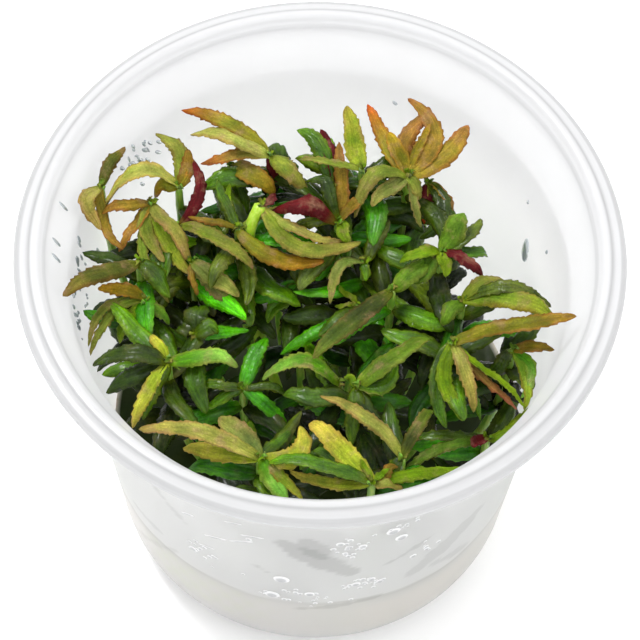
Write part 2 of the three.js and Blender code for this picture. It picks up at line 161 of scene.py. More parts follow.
# Drops on the inside of the back wall: angle, height, half width, half height and lean in degrees
DROPS = (
    (25.7, 59.8, 0.95, 3.1, 8), (17.1, 68.4, 0.3, 0.6, 0), (29.9, 71, 0.25, 0.5, 10),
    (72.8, 72.3, 0.35, 0.6, 50), (138.9, 73.2, 0.4, 1.1, 35), (137, 73.9, 0.35, 0.9, 30),
    (135.1, 69.9, 0.4, 1.0, 40), (140.9, 71.8, 0.4, 0.9, 30), (143.3, 72.7, 0.4, 1.0, 35),
    (138.2, 67.9, 0.4, 0.9, 30), (141.7, 73.6, 0.3, 0.7, 40), (138.5, 69.9, 0.35, 0.8, 35),
    (147.1, 74.4, 0.4, 0.9, 30), (143, 68.9, 0.4, 0.9, 35), (141.6, 65.1, 0.4, 0.9, 30),
    (145.2, 70.6, 0.35, 0.8, 40), (134.4, 72.4, 0.35, 0.9, 35), (168.2, 83.1, 0.3, 1.4, 4),
    (177.1, 82.7, 0.3, 1.3, -4), (171.1, 65.9, 0.3, 1.5, 0), (175.1, 74, 0.3, 1.6, 0),
    (180.8, 82.3, 0.3, 1.4, -6), (163.2, 63.8, 0.35, 1.6, 6), (178.5, 70, 0.3, 1.8, 0),
    (183, 74, 0.3, 1.4, -4),
)

# Clusters of small drops among them: angle, height, reach in degrees and in height, number and length
DROP_CLUSTERS = (
    (141, 72.5, 4.5, 4.5, 16, 0.8), (-171, 71, 4, 6, 14, 1.2), (174, 74, 5, 6, 12, 1.3),
    (178, 63, 4, 3, 6, 0.9),
)

# Meshes of big and of small drops, as rings and sides, and their colours: painted shade in the middle and a
# painted highlight at the edge
BIG_DROP_MESH, SMALL_DROP_MESH = (7, 20), (5, 12)
DROP_PAINTED_SHADE, DROP_PAINTED_HIGHLIGHT = (196, 197, 199), (252, 252, 253)

# Places where a leaf lies against the inside of the wall, painted on the wall as its shadow: the angle and
# height of its two ends, its width and how much it darkens the wall
PAINTED_LEAF_SHADOWS = (
    (-96.5, 58, -79.7, 43.2, 5.5, 0.16), (-91, 60, -87, 52, 5, 0.14),
    (-152.5, 12.3, -128.2, 30.6, 1.8, 0.09), (-70.6, 43.7, -58.3, 50, 1.5, 0.13),
    (-62, 34, -44, 46, 6.5, 0.1), (-55.9, 32.9, -42.6, 29, 3, 0.1), (-145.3, 33.1, -133.2, 33.8, 2.4, 0.1),
    (-135, 62, -122, 50, 1.6, 0.1), (-104, 44, -100, 41, 1.2, 0.12), (-93, 24.5, -70, 27.5, 2, 0.12),
)

# Each shoot: its topmost bud, then one row for each leaf round it. A row is the leaf tip's offset
# from the bud in x, y and z, the bow of the leaf's middle up and to its left, its width and its tone.
SHOOTS = (
    ([-9.4, 20.7, 84], [
        (-16.2, 9, 0, 2.6, -0.6, 3, "ember"), (-14.5, 5, -1, 3.5, 0, 3.6, "olive"),
        (-12.4, -1, -2, 2, 0, 2.4, "russet"), (7.1, -5.6, -3, 2.5, 0, 3.6, "sage"),
        (1.2, -2.3, -5, 0.5, 0, 1.8, "maroon"),
    ]),
    ([-16.5, 20.9, 80], [
        (8.5, -5.5, 0, 2.5, 0, 3.8, "amber"), (3, -7, -6, 1, 0, 2.4, "wet"),
    ]),
    ([-25.2, 15.2, 81.5], [
        (1.2, 5, 4.5, 0, -0.8, 2.6, "copper"), (3.4, 4.1, 1.5, 0.5, 0, 1.4, "ember"),
        (-4.8, -0.7, -2.5, 3, 0, 2.8, "amber"), (-4.2, 9, 2.5, 2.5, -2, 3, "sage"),
        (-12.8, -3.6, -2.5, 6, -2, 3.4, "olive"),
    ]),
    ([-14.5, 8.1, 80], [
        (-8.7, 2.3, -1, 1.5, 0, 1.6, "copper"), (8.9, 4.4, 1, 0, 0, 1.5, "sage"),
        (15.2, -5.1, -2, 0, -3, 3.4, "amber"), (-4.1, 6.5, 5, 0, 0, 2.2, "wet"),
        (-2, 5.9, 5, 0, 0.5, 1.6, "lime"),
    ]),
    ([-29.8, 12.6, 80], [
        (-9, -2.4, 1, 1, 0, 2.2, "copper"), (7.8, -10.3, -2, 2, 0, 3.2, "blush"),
        (2.6, -9.4, -4, 0.5, -1.8, 2.8, "sage"), (7.3, -11.2, -5, 0, -1, 3, "straw"),
        (-5.4, -7.7, -4, 1, 0, 2.4, "copper"), (4, -16.2, -6, 0, -3, 1.8, "sage"),
    ]),
    ([-25.1, 9.3, 78], [
        (14.1, -7.9, 0, 3.5, 0, 2.8, "sage"), (2.7, 8.7, 8, 0, -2.4, 2.4, "maroon"),
    ]),
    ([-38.8, 14.4, 82], [
        (3.8, 7.6, 0, 2, 0, 2.4, "dusk"), (0.4, -6.9, -3, 2, -2, 2.8, "blush"),
        (4, -10.1, -5, 0, -1.5, 2.2, "copper"),
    ]),
    ([-31.3, 0.6, 80], [
        (-12.3, -10, 5, 1.5, 0, 3.6, "dusk"), (5.7, -4.5, -4, 2, 0, 4, "wet"),
    ]),
    ([-30.1, -4.7, 76], [
        (-8.2, 0.7, 2, 2.5, 0, 2.4, "gold"), (-9.6, -8.6, -2, 2, -2.5, 1.8, "sage"),
        (-9, -9.9, -3, 2, -2, 1.8, "sage"), (4.5, -3.1, -3, 1, 0, 2.4, "frost"),
        (-4.9, -5.7, -6, 1, 0, 2.2, "lime"),
    ]),
    ([-25.5, -16.9, 76], [
        (-10.9, 11.6, 1, 1, 0, 3.8, "fresh"), (12.9, 0.9, -1, 3, 0, 3.2, "pale"),
        (-6, -11.4, -3, 1.5, 0, 2.6, "straw"), (-3.6, -9.8, -3, 1.5, 0, 3, "wet"),
        (-13.2, -0.1, -2, 4, 0, 3.6, "deep"), (-11, -4.1, -4, 1.5, 0, 3.8, "deep"),
        (-3.6, 5.4, 1, 0.5, 0, 2.2, "straw"),
    ]),
    ([-22.3, 2.7, 77], [
        (8.5, -5.5, -2, 1.5, 0, 3.4, "ash"), (1.1, -5.3, -3, 0.5, 0, 1.4, "copper"),
        (9.9, -8.3, -6, 1, 0, 2.4, "ash"), (6.4, -2.5, -5, 1, 0, 1.8, "straw"),
    ]),
    ([-21.3, -9.7, 73], [
        (0.7, 6.4, 0, 2, 0, 4.4, "deep"), (4.1, 0.6, 1, 2.5, 0, 3.6, "wet"),
        (9, 2.7, -3, 1, 0, 2.8, "vivid"), (-3, 2.5, 0, 1, 0, 3.4, "deep"),
    ]),
    ([-10.5, 11.1, 83], [
        (2.9, 1.9, 0, 0.5, 0, 1.8, "maroon"), (17.5, -4, -4, 0, -4.5, 3.4, "sage"),
        (14.6, -3.3, -5, 0, -2, 2, "olive"),
    ]),
    ([-3.5, 4.5, 68], [
        (-9, -3.2, -1, 1.5, 0, 4, "vivid"), (-6.3, -6.4, -3, 1, 0, 3, "fresh"),
        (2.5, -4, -3, 1, 0, 2.6, "deep"), (-2, 7, 2, 2, 0, 3, "wet"),
    ]),
    ([-12.7, -17.1, 68], [
        (3.5, 10.1, 2, 1, 0, 3.2, "vivid"), (8.4, -0.3, -2, 1.5, 0, 1.8, "wet"),
        (-6.3, -3.5, -2, 1, 0, 2.4, "fresh"), (8.2, -4.2, -5, 1, 0, 2.6, "vivid"),
        (-8.5, 1, -2, 1.5, 0, 2, "wet"),
    ]),
    ([4.1, -16.9, 70], [
        (-13.4, 1.3, -2, 5, -1, 2.8, "pale"), (-6.2, -3.5, -3, 1, 0, 2, "wet"),
        (-3, 7, -4, 1, 0, 3, "deep"),
    ]),
    ([6.7, -2.2, 72], [
        (-6.9, -6.3, 0, 1.5, 0, 3.4, "wet"), (-13.7, -7.4, -4, 0.5, 0, 2.8, "vivid"),
        (-3.4, 3.5, 1, 0, 0, 1.2, "lime"), (-3.8, 0.3, 0, 0.5, 0, 1.2, "lime"),
    ]),
    ([12.6, -2.2, 78], [
        (-13.4, -12.9, -2, 1, 0, 3.6, "mottled"), (6.8, 4.7, 2, 2, 0, 4, "frost"),
    ]),
    ([21, 3.7, 81.3], [
        (-8.2, -2, 0, 2, 0, 2.6, "lime"), (1, -4.3, -1, 1.5, 0, 2.6, "lime"),
        (3.4, 6.5, 4, 1, 0, 4.2, "frost"), (-4.8, -5.2, -3, 1.5, 0, 3.4, "frost"),
        (6.7, 7.4, 1, 0.5, -1, 3, "shade"), (9.2, 1.9, -3, 1, 0, 2.6, "fresh"),
        (8.1, -3.6, -2, 2, 0, 2.4, "maroon"),
    ]),
    ([24.7, -4.3, 79], [
        (16.2, -4.3, 3, 4, 0, 4.4, "ochre"), (15.4, -1.5, 1, 5, 0, 2.6, "shade"),
        (7.3, 3.3, 1, 2.5, 0, 3, "sage"), (8.3, 1.1, 0, 3, 0, 3.2, "amber"),
        (-3.6, -4.6, -2, 1.5, 0, 3, "frost"),
    ]),
    ([23.1, -12.3, 78], [
        (20.6, 1.3, 8, 1, 0, 3.6, "amber"), (2.3, -11.9, -6, 1, -2, 2.8, "lime"),
        (3.8, -10.8, -5, 1.5, 0.7, 2.6, "blush"), (-0.4, -12.4, -8, 1, -2.6, 3, "wet"),
        (5.7, -10.6, -9, 1, 0, 1.8, "fresh"), (13.4, -9.5, -5, 1, 0, 1.4, "lime"),
        (11.8, -9, -6, 0, 0, 1.6, "rose"),
    ]),
    ([7, -20.3, 76], [
        (12.6, 9.3, 2, 2, 0, 4, "frost"), (6.7, 4.8, -1, 1, -2, 3, "fresh"),
        (-2.3, 1.7, 1, 0.5, 0, 1.4, "lime"), (4.5, -1.5, -1, 1, 0, 2, "frost"),
        (-0.5, -8.1, -6, 1.5, 0, 3.4, "wet"), (5, -8.3, -7, 1.5, 0, 3, "deep"),
    ]),
    ([33.4, -12.8, 77], [
        (7, -0.7, 2, 1.5, 0, 2.6, "copper"), (1.6, -7.1, -4, 0.5, 2.4, 1.8, "pale"),
        (2.6, -9, -5, 0.5, 1.5, 2.2, "ochre"), (-5, -4, -6, 1, 0, 2.6, "deep"),
    ]),
    ([29.8, -24.3, 66], [
        (-15.6, 0, -1, 2, 0, 2.2, "wet"), (-14.6, -5.9, -1, 2, 0, 2.2, "frost"),
        (7.2, 4.3, 4, 0, -1, 2.4, "lime"), (-3, -2.5, 2, 1, 0, 2.4, "maroon"),
    ]),
    ([9.9, -39.1, 77], [
        (-11.1, 10.5, 2, 1, 0, 3.8, "straw"), (-18.4, 3.8, 1, 3, 0, 3.2, "fresh"),
        (-13.8, 2.6, -1, 0, 1.5, 2.2, "straw"), (15.6, 5.8, -5, 0.5, 0, 2.6, "lime"),
        (5.1, 0.2, -2, 1, 0, 2.6, "blush"), (4.3, 3.9, 0, 0.5, 0, 1.8, "copper"),
        (-1.8, 3.4, 2, 0, 0, 1.2, "lime"), (2.6, 1.8, 2, 0, 0, 1.2, "lime"),
    ]),
    ([14.9, -33.9, 76], [
        (-14.1, 10.8, 1, 3, -1.5, 2.8, "blush"), (-4, -2, -4, 1, 0, 2.4, "wet"),
        (5.6, 11.7, -2, 3, 0, 2.4, "mottled"),
    ]),
    ([-9, -35.3, 77], [
        (-21, 5, 0, 4.5, 0, 3.4, "blush"), (-13.5, 3.1, -2, 0.5, 0, 3.6, "straw"),
        (4.6, -6.3, -3, 1, 0, 3.8, "pale"), (7.1, -5.4, -4, 1, 0, 2.2, "ochre"),
        (-7.6, 8.5, -1, 0.5, 0, 4, "ash"), (6.6, 6.7, 1, 0.5, -4.5, 3.6, "straw"),
        (5, 7, -3, 0.5, 0, 2.2, "wet"),
    ]),
    ([14.7, 17.6, 84], [
        (-7.5, 14, 2, 0, 1, 2.8, "ember"), (-3.7, 7, 3, 0, 0, 3, "gold"),
        (-6.3, -5.8, -1, 1, 0, 2.8, "ash"), (2.4, -3.9, -2, 1, 0, 2.6, "sage"),
        (-9.3, -6.8, -4, 4.5, -2.2, 3.6, "sage"), (2.7, -8.2, -4, 1, 0, 1.8, "ash"),
        (-0.4, 15, 2.5, 0.5, -4.5, 3.2, "bronze"), (3.2, 12.6, 2, 0, 2.8, 3.8, "bronze"),
        (3.6, 9.1, 3, 0, 0.5, 1.8, "gold"), (10.8, 10.7, 2, 0.5, -1.5, 3.8, "sunset"),
    ]),
    ([6.7, 18.4, 84], [
        (-2.5, 11.4, 3, 0, 0, 3.8, "straw"), (-11.5, 2.6, -1, 3, 0.8, 1.6, "sage"),
    ]),
    ([1.6, 16.3, 82], [
        (-6.7, 9.7, 3, 1, -1.5, 3.4, "fresh"), (-2.8, 9.2, 3, 0.5, -0.8, 2.8, "maroon"),
        (-0.1, 9, 2, 0, 0, 2.4, "fresh"),
    ]),
    ([2.9, 10, 80], [
        (-11.2, 1, 1, 5.5, 0, 4.2, "maroon"), (-5.9, 7, 2, 5, -1.5, 3, "deep"),
        (-0.3, 13, 6, 0, -0.5, 2.6, "bronze"), (2.2, -3.5, -2, 1, 0, 2.4, "lime"),
        (4.4, 3.6, 3, 1, 0, 2.2, "copper"), (-8.4, -0.3, -2, 2, 0, 2.6, "shade"),
    ]),
    ([18.5, 18.9, 80], [
        (-1.4, -10, -3, 1, 3.2, 3, "deep"), (0.9, -4.9, -3, 1, 0, 2.6, "maroon"),
        (4.9, -4.6, -2, 1, 0, 1.6, "copper"), (-0.4, -6.5, -4, 0.5, 0, 1.4, "ember"),
    ]),
    ([7.8, 4.5, 76], [
        (-5.5, -7.6, -2, 3, -1.8, 2.4, "ash"), (0.3, -3.4, -1, 0.5, 0, 1.8, "fresh"),
        (4.1, 6.9, 3, 1, 0, 3, "shade"), (-6, 6, 1, 1, 0, 3, "deep"),
    ]),
)

# Leaf tones: colour near the base, near the tip and at the margin (sRGB, 0 to 255), and how wet it is.
TONES = {
    "ember": ((148, 138, 46), (180, 68, 24), (145, 50, 27), 0),
    "olive": ((156, 154, 86), (163, 156, 82), (151, 101, 57), 0),
    "russet": ((142, 132, 66), (160, 96, 48), (152, 61, 39), 0),
    "sage": ((118, 129, 50), (132, 128, 64), (134, 103, 64), 0),
    "maroon": ((86, 18, 28), (100, 24, 34), (72, 14, 24), 0.2),
    "amber": ((127, 120, 36), (161, 114, 30), (150, 83, 40), 0),
    "wet": ((58, 82, 6), (75, 111, 8), (88, 95, 27), 1),
    "copper": ((137, 113, 40), (149, 108, 48), (134, 67, 41), 0),
    "lime": ((104, 128, 14), (126, 154, 30), (119, 128, 41), 0.3),
    "blush": ((141, 140, 72), (163, 142, 80), (152, 98, 75), 0),
    "straw": ((148, 161, 46), (184, 168, 76), (162, 120, 69), 0),
    "dusk": ((79, 81, 34), (128, 107, 46), (114, 72, 41), 0.4),
    "gold": ((127, 108, 26), (175, 135, 36), (155, 90, 43), 0),
    "frost": ((84, 113, 30), (98, 127, 40), (116, 114, 57), 0.4),
    "fresh": ((62, 98, 4), (93, 140, 12), (109, 127, 34), 0.7),
    "pale": ((78, 126, 18), (137, 184, 88), (149, 144, 69), 0.3),
    "deep": ((44, 62, 4), (54, 79, 6), (60, 67, 18), 1),
    "ash": ((105, 113, 60), (134, 135, 70), (141, 110, 75), 0),
    "vivid": ((58, 136, 4), (70, 148, 8), (84, 134, 22), 1),
    "mottled": ((58, 64, 22), (102, 114, 44), (110, 81, 48), 0.2),
    "shade": ((74, 92, 12), (84, 100, 28), (75, 72, 29), 0.8),
    "ochre": ((108, 134, 36), (157, 165, 58), (141, 92, 43), 0),
    "rose": ((150, 106, 62), (178, 98, 74), (152, 67, 62), 0),
    "bronze": ((143, 115, 44), (146, 104, 54), (138, 64, 41), 0.1),
    "sunset": ((156, 132, 50), (182, 116, 76), (172, 88, 58), 0),
}
# How light the leaves are in red, green and blue, and the colour of their bases (sRGB, 0 to 255)
LEAF_BRIGHTNESS = (0.93, 0.95, 0.68)
YOUNG_LEAF = (140, 150, 30)
# How much of its colour each whorl keeps under painted shade, from the top one down
LEVEL_PAINTED_SHADE = (1, 0.88, 0.5, 0.25)
LOWER_TONES = ("wet", "fresh", "deep", "vivid", "wet", "shade", "vivid", "fresh", "deep")


def to_linear(rgb):
    """An sRGB colour, 0 to 255, as linear values."""
    c = np.asarray(rgb, float) / 255
    return np.where(c <= 0.04045, c / 12.92, ((c + 0.055) / 1.055) ** 2.4)


def unit(v):
    return v / np.maximum(np.linalg.norm(v, axis=-1, keepdims=True), 1e-9)


def smooth_step(x, low, high):
    x = np.clip((x - low) / (high - low), 0, 1)
    return x * x * (3 - 2 * x)


def band(x, middle, half, soft=0.25):
    """1 within half of middle, easing to 0."""
    return 1 - smooth_step(np.abs(x - middle), half, half + soft)


def outer_radius(z):
    return WALL_RADIUS_AT_BASE + WALL_FLARE * z


def inner_radius(z):
    """The inside radius of the tub at height z, which opens out below the rim."""
    return outer_radius(np.minimum(z, WALL_TOP)) - WALL + np.maximum(0, z - WALL_TOP) * MOUTH_FLARE


def kept_inside(points):
    """Points moved in towards the tub's axis where they would touch the wall."""
    radius = np.hypot(points[:, 0], points[:, 1])
    limit = inner_radius(points[:, 2]) - WALL_CLEARANCE
    scale = np.minimum(1, limit / np.maximum(radius, 1e-6))
    points[:, :2] *= scale[:, None]
    return points


def bezier(a, b, c, t):
    t = np.asarray(t, float)[:, None]
    return (1 - t) ** 2 * a + 2 * t * (1 - t) * b + t**2 * c


def stem_ends(top, number):
    """The three points that a stem's curve runs by, from its foot in the gel to its topmost bud."""
    foot = np.array([top[0] * STEM_SPREAD, top[1] * STEM_SPREAD, GEL_TOP - STEM_FOOT_DEPTH])
    upright = np.array([top[0], top[1], foot[2] + STEM_BEND * (top[2] - foot[2])])
    bend = np.array(LEANING_BEND, float) if number == LEANING_SHOOT else upright
    return foot, bend, np.array(top, float)


def leaf_line(base, leaf, t):
    """Points and directions on a leaf's midline at each t from its base."""
    x, y, z, arch, sway = leaf[:5]
    t = np.asarray(t, float)[:, None]
    heading = unit(np.array([x, y, 0.0]))
    bow = sway * np.array([-heading[1], heading[0], 0]) + np.array([0, 0, arch])
    reach = np.array([x, y, z], float)
    return base + reach * t + 4 * t * (1 - t) * bow, unit(reach + 4 * (1 - 2 * t) * bow)


def leaf_points(base, leaf):
    return leaf_line(base, leaf, [0.25, 0.5, 0.75, 1])[0]


def leaf_that_fits(base, heading):
    """A lower leaf with this heading, as long as the tub's wall and, at the back, the tuft allow."""
    for length in range(LOWER_LENGTH, LOWER_SHORTEST - 1, -1):
        x, y, z = length * math.cos(heading), length * math.sin(heading), LOWER_RISE * length
        tip = base + np.array([x, y, z])
        to_wall = inner_radius(tip[2]) - 2 * WALL_CLEARANCE
        limit = min(to_wall, BACK_REACH) if tip[1] > BACK_START else to_wall
        if math.hypot(tip[0], tip[1]) < limit:
            return (x, y, z, LOWER_ARCH, 0, LOWER_WIDTH)
    return None


def lower_whorl(base, others):
    """The leaves of one lower whorl, turned so that they stand clear of the points given."""
    best_score, best = -1, []
    for turn in range(LOWER_TURNS):
        headings = [(i + turn / LOWER_TURNS) / LOWER_LEAVES * 2 * math.pi for i in range(LOWER_LEAVES)]
        leaves = [leaf for leaf in (leaf_that_fits(base, h) for h in headings) if leaf]
        clear = 9
        if leaves:
            points = np.vstack([leaf_points(base, leaf) for leaf in leaves])
            gaps = np.linalg.norm(points[:, None] - others[None], axis=2)
            clear = min(9, gaps.min())
        if clear + len(leaves) > best_score:
            best_score, best = clear + len(leaves), leaves
    return best


class Builder:
    """Collects vertices, faces and the values that the materials read, for one mesh."""

    def __init__(self):
        self.vertices, self.faces, self.tints, self.places, self.slots = [], [], [], [], []
        self.count = 0

    def add(self, vertices, faces, tints, places=None, slot=0):
        """Adds a closed shape, with a tint for each vertex and, on leaves, its place on the blade."""
        self.vertices.append(vertices)
        self.faces.append(np.asarray(faces) + self.count)
        self.tints.append(tints)
        self.places.append(np.zeros((len(vertices), 3)) if places is None else places)
        self.slots.append(np.full(len(faces), slot))
        self.count += len(vertices)

    def build(self, name, materials):
        vertices, faces = np.vstack(self.vertices) * MM, np.vstack(self.faces)
        mesh = bpy.data.meshes.new(name)
        mesh.from_pydata(vertices.tolist(), [], faces.tolist())
        tint = mesh.attributes.new("tint", "FLOAT_COLOR", "POINT")
        tints = np.column_stack([np.vstack(self.tints), np.ones(self.count)])
        tint.data.foreach_set("color", tints.astype(np.float32).ravel())
        place = mesh.attributes.new("place", "FLOAT_VECTOR", "POINT")
        place.data.foreach_set("vector", np.vstack(self.places).astype(np.float32).ravel())
        for material in materials:
            mesh.materials.append(material)
        mesh.polygons.foreach_set("material_index", np.concatenate(self.slots).astype(np.int32))
        mesh.polygons.foreach_set("use_smooth", np.ones(len(faces), bool))
        mesh.update()
        obj = bpy.data.objects.new(name, mesh)
        bpy.context.scene.collection.objects.link(obj)
        return obj


def grid_faces(rows, columns, closed=False):
    """Quads over a grid of points given row by row. closed joins the last column to the first."""
    r = np.arange(rows - 1)[:, None] * columns
    c = np.arange(columns if closed else columns - 1)[None]
    d = (c + 1) % columns
    return np.stack([r + c, r + d, r + columns + d, r + columns + c], -1).reshape(-1, 4)


def closed_rings(rings, low, high):
    """Vertices and faces of a tube of rings, closed by a fan round a point at each of its ends."""
    rows, sides = rings.shape[:2]
    vertices = np.vstack([rings.reshape(-1, 3), low, high])
    last, low_index, high_index = (rows - 1) * sides, rows * sides, rows * sides + 1
    fans = []
    for i in range(0, sides, 2):
        fans.append([low_index, (i + 2) % sides, i + 1, i])
        fans.append([high_index, last + i, last + i + 1, last + (i + 2) % sides])
    return vertices, np.vstack([grid_faces(rows, sides, closed=True), fans])


def leaf_outline(t):
    """Half a leaf's width at t from its base, as a share of its full width."""
    swell = np.maximum(np.sin(np.pi * np.clip(t, 0, 1) ** 0.9), 0) ** 0.5
    return (swell + 0.15 * (1 - t)) / 2.15


def jagged(distance):
    """An uneven row of forward-pointing saw teeth, 0 to 1, at each distance along a margin."""
    count = int(distance[-1] / TOOTH_SPACING * 1.8) + 4
    starts = (np.cumsum(rng.uniform(0.6, 1.4, count)) - 2) * TOOTH_SPACING
    heights = rng.uniform(0.3, 1, count)
    index = np.clip(np.searchsorted(starts, distance) - 1, 0, count - 2)
    share = np.clip((distance - starts[index]) / (starts[index + 1] - starts[index]), 0, 1)
    return heights[index] * np.where(share < TOOTH_PEAK, share / TOOTH_PEAK, (1 - share) / (1 - TOOTH_PEAK))


def swings(t, strength):
    """A slow random wander along a leaf, 0 at its base."""
    phases, turns = rng.uniform(0, 2 * np.pi, 2), rng.uniform(0.5, 1.6, 2)
    waves = [np.sin(2 * np.pi * turn * t + phase) - np.sin(phase) for turn, phase in zip(turns, phases)]
    return strength * (0.6 * waves[0] + 0.4 * waves[1])


def blade_frame(base, leaf, t, fine):
    """Midline points of a leaf with its side and upward vectors, bent and twisted a little at random."""
    line, along = leaf_line(base, leaf, t)
    heading = unit(np.array([leaf[0], leaf[1], 0.0]))
    right = np.array([heading[1], -heading[0], 0])
    side = unit(right - along * (along @ right)[:, None])
    lift = np.cross(side, along)
    hook = rng.uniform(-0.5, 1.5) * np.clip((t - 0.7) / 0.3, 0, 1) ** 2
    line = line + side * swings(t, 0.3)[:, None] + lift * (swings(t, 0.3) - hook)[:, None]
    along = unit(np.gradient(line, axis=0))
    side = unit(side - along * (along * side).sum(1)[:, None])
    lift = np.cross(side, along)
    most_roll = 18 if fine else 42
    roll = math.radians(rng.uniform(-most_roll, most_roll)) * np.sin(np.pi * t * 0.5)
    roll = roll + swings(t, 0.15)
    return line, (
        side * np.cos(roll)[:, None] + lift * np.sin(roll)[:, None],
        lift * np.cos(roll)[:, None] - side * np.sin(roll)[:, None],
    )


def blade_height(t, length, half, u, wet):
    """Height of the blade's upper face over its midline: folded, rolled at its margins and crinkled."""
    spread = np.abs(u)
    fold = LEAF_FOLD * (rng.uniform(0.5, 1.8) if wet > 0.5 else rng.uniform(0.2, 1.2))
    dome = rng.uniform(0.3, 1.1) if wet > 0.5 else rng.uniform(0, 0.7)
    groove = -0.14 * np.exp(-((spread / 0.1) ** 2)) * np.minimum(1, half)
    phases, run = rng.uniform(0, 2 * np.pi, 4), rng.uniform(2.6, 5)
    turns = t * length / run * 2 * np.pi
    wave = 0.13 * np.where(u < 0, np.sin(turns + phases[0]), np.sin(turns + phases[1])) * u**2
    folds = np.sin(turns * 2.7 + phases[2] + 3 * u) * np.sin(turns * 1.9 + phases[3] - 2 * u)
    crinkle = (0.035 + 0.035 * wet) * folds * (1 - spread**4)
    quilt = 0.05 * np.sin(spread * 3 * np.pi) * (1 - spread)
    return half * (fold * spread - dome * spread**2.4) + groove + wave + crinkle + quilt


def leaf_colours(t, length, across, tone):
    """Colours over a leaf's rows and columns: its tone, patches, a browner margin and a lighter base."""
    base_colour, tip_colour, margin, _ = TONES[tone]
    shift = rng.normal(1, 0.08) * np.array(LEAF_BRIGHTNESS) * np.array([rng.normal(1, 0.04), 1, 1])
    base_colour, tip_colour, margin = (to_linear(c) * shift for c in (base_colour, tip_colour, margin))
    t, u = t[:, None, None], across[None, :, None]
    blend = np.clip((t - 0.4 + rng.uniform(-0.2, 0.2)) / 0.55, 0, 1)
    colour = base_colour * (1 - blend) + tip_colour * blend
    phases = rng.uniform(0, 2 * np.pi, 3)
    patch = np.sin(t * length * 0.55 + phases[0] + u) * np.sin(t * length * 0.33 + phases[1] - 1.7 * u)
    colour = colour * (1 - 0.22 * np.clip(patch, 0, 1)) + 0.22 * np.clip(-patch, 0, 1) * (colour * 1.25)
    uneven = 0.5 + 0.5 * np.sin(t * length * 0.9 + phases[2] + 2 * np.sign(u))
    at_margin = np.clip((np.abs(u) - 0.62 + 0.12 * uneven) / 0.36, 0, 1) * np.clip(t * 2.5, 0, 1)
    at_tip = np.clip((t - 0.9) / 0.1, 0, 1) * rng.uniform(0, 0.7)
    edge = np.maximum(0.55 * at_margin, at_tip)
    colour = colour * (1 - edge) + margin * edge
    young = 0.4 * np.clip(1 - t * 7, 0, 1)
    return colour * (1 - young) + to_linear(YOUNG_LEAF) * young


def blade_mesh(base, course, width, length, t, across, wet, top_whorl):
    """Vertices and faces of a blade: rows of points over its upper face and back under its lower one."""
    rows, columns, u = len(t), len(across), across[None]
    around = 2 * columns
    line, (side, lift) = blade_frame(base, course, t, top_whorl)
    half = (leaf_outline(t) * width)[:, None]
    depth = TOOTH_DEPTH * np.clip((t - 0.1) * 5, 0, 1) * np.clip((1 - t) * 5, 0.4, 1)
    left_edge, right_edge = (half[:, 0] + depth * (jagged(t * length) - 0.35) for _ in range(2))
    reach = np.where(u < 0, left_edge[:, None], right_edge[:, None])
    spread = u * (half * (1 - np.abs(u) ** 6) + reach * np.abs(u) ** 6)
    height = blade_height(t[:, None], length, half, u, wet)
    top = line[:, None] + side[:, None] * spread[..., None] + lift[:, None] * height[..., None]
    thick = (MIDRIB_THICKNESS * np.exp(-((u / 0.2) ** 2)) + EDGE_THICKNESS) * np.minimum(1, half / 0.6 + 0.2)
    under = top - lift[:, None] * thick[..., None]
    points = kept_inside(np.concatenate([top, under[:, ::-1]], axis=1).reshape(-1, 3))
    base_end = np.array([[i, i + 1, around - 2 - i, around - 1 - i] for i in range(columns - 1)])
    tip_end = base_end[:, ::-1] + (rows - 1) * around
    return points, np.vstack([grid_faces(rows, around, closed=True), base_end, tip_end])


def blade_tints(tone, level, length, t, around):
    """Colours over both faces of a blade: lower leaves carry painted shade, darker towards their bases, and
    are uneven, and undersides are greyer.
    """
    # Painted shade: each whorl lower down is darker, vivid leaves less so
    colour = leaf_colours(t, length, around, tone) * LEVEL_PAINTED_SHADE[level] ** (0.4 if tone == "vivid" else 1)
    if level > 0:
        colour = colour * math.exp(rng.normal(-0.05, 0.42))
        # Painted shade towards the bases of the lower leaves
        colour = colour * (0.5 + 0.5 * np.clip(t * 2, 0, 1))[:, None, None]
    below = np.repeat([0, 1], len(around) // 2)[None, :, None]
    return colour * (1 - below) + (0.75 * colour + 0.25 * colour.mean(-1, keepdims=True) + 0.01) * below


def add_leaf(builder, base, leaf, tone, level=0):
    """Adds one leaf, a jagged and veined strap with two faces. Level 0 is the topmost whorl."""
    x, y, z, arch, sway, width = leaf
    top_whorl, wet = level == 0, TONES[tone][3]
    if not top_whorl:
        arch, sway = arch + rng.uniform(-1, 0.3), sway + rng.uniform(-1.2, 1.2)
        width *= rng.uniform(0.74, 1)
    spacing, columns = (TOP_SPACING, TOP_COLUMNS) if top_whorl else (LOWER_SPACING, LOWER_COLUMNS)
    length = math.sqrt(x * x + y * y + z * z) + 0.6 * abs(arch)
    t, across = np.linspace(0, 1, max(12, int(length / spacing))), np.linspace(-1, 1, columns)
    points, faces = blade_mesh(base, (x, y, z, arch, sway), width, length, t, across, wet, top_whorl)
    around = np.concatenate([across, across[::-1]])
    tints = blade_tints(tone, level, length, t, around)
    grid = (len(t), len(around))
    places = np.stack([
        np.broadcast_to((t * length)[:, None], grid), np.broadcast_to(around, grid),
        np.full(grid, rng.uniform(0, 100)),
    ], -1)
    slot = DRY_SLOT if wet < 0.5 else WET_SLOT
    builder.add(points, faces, tints.reshape(-1, 3), places.reshape(-1, 3), slot)


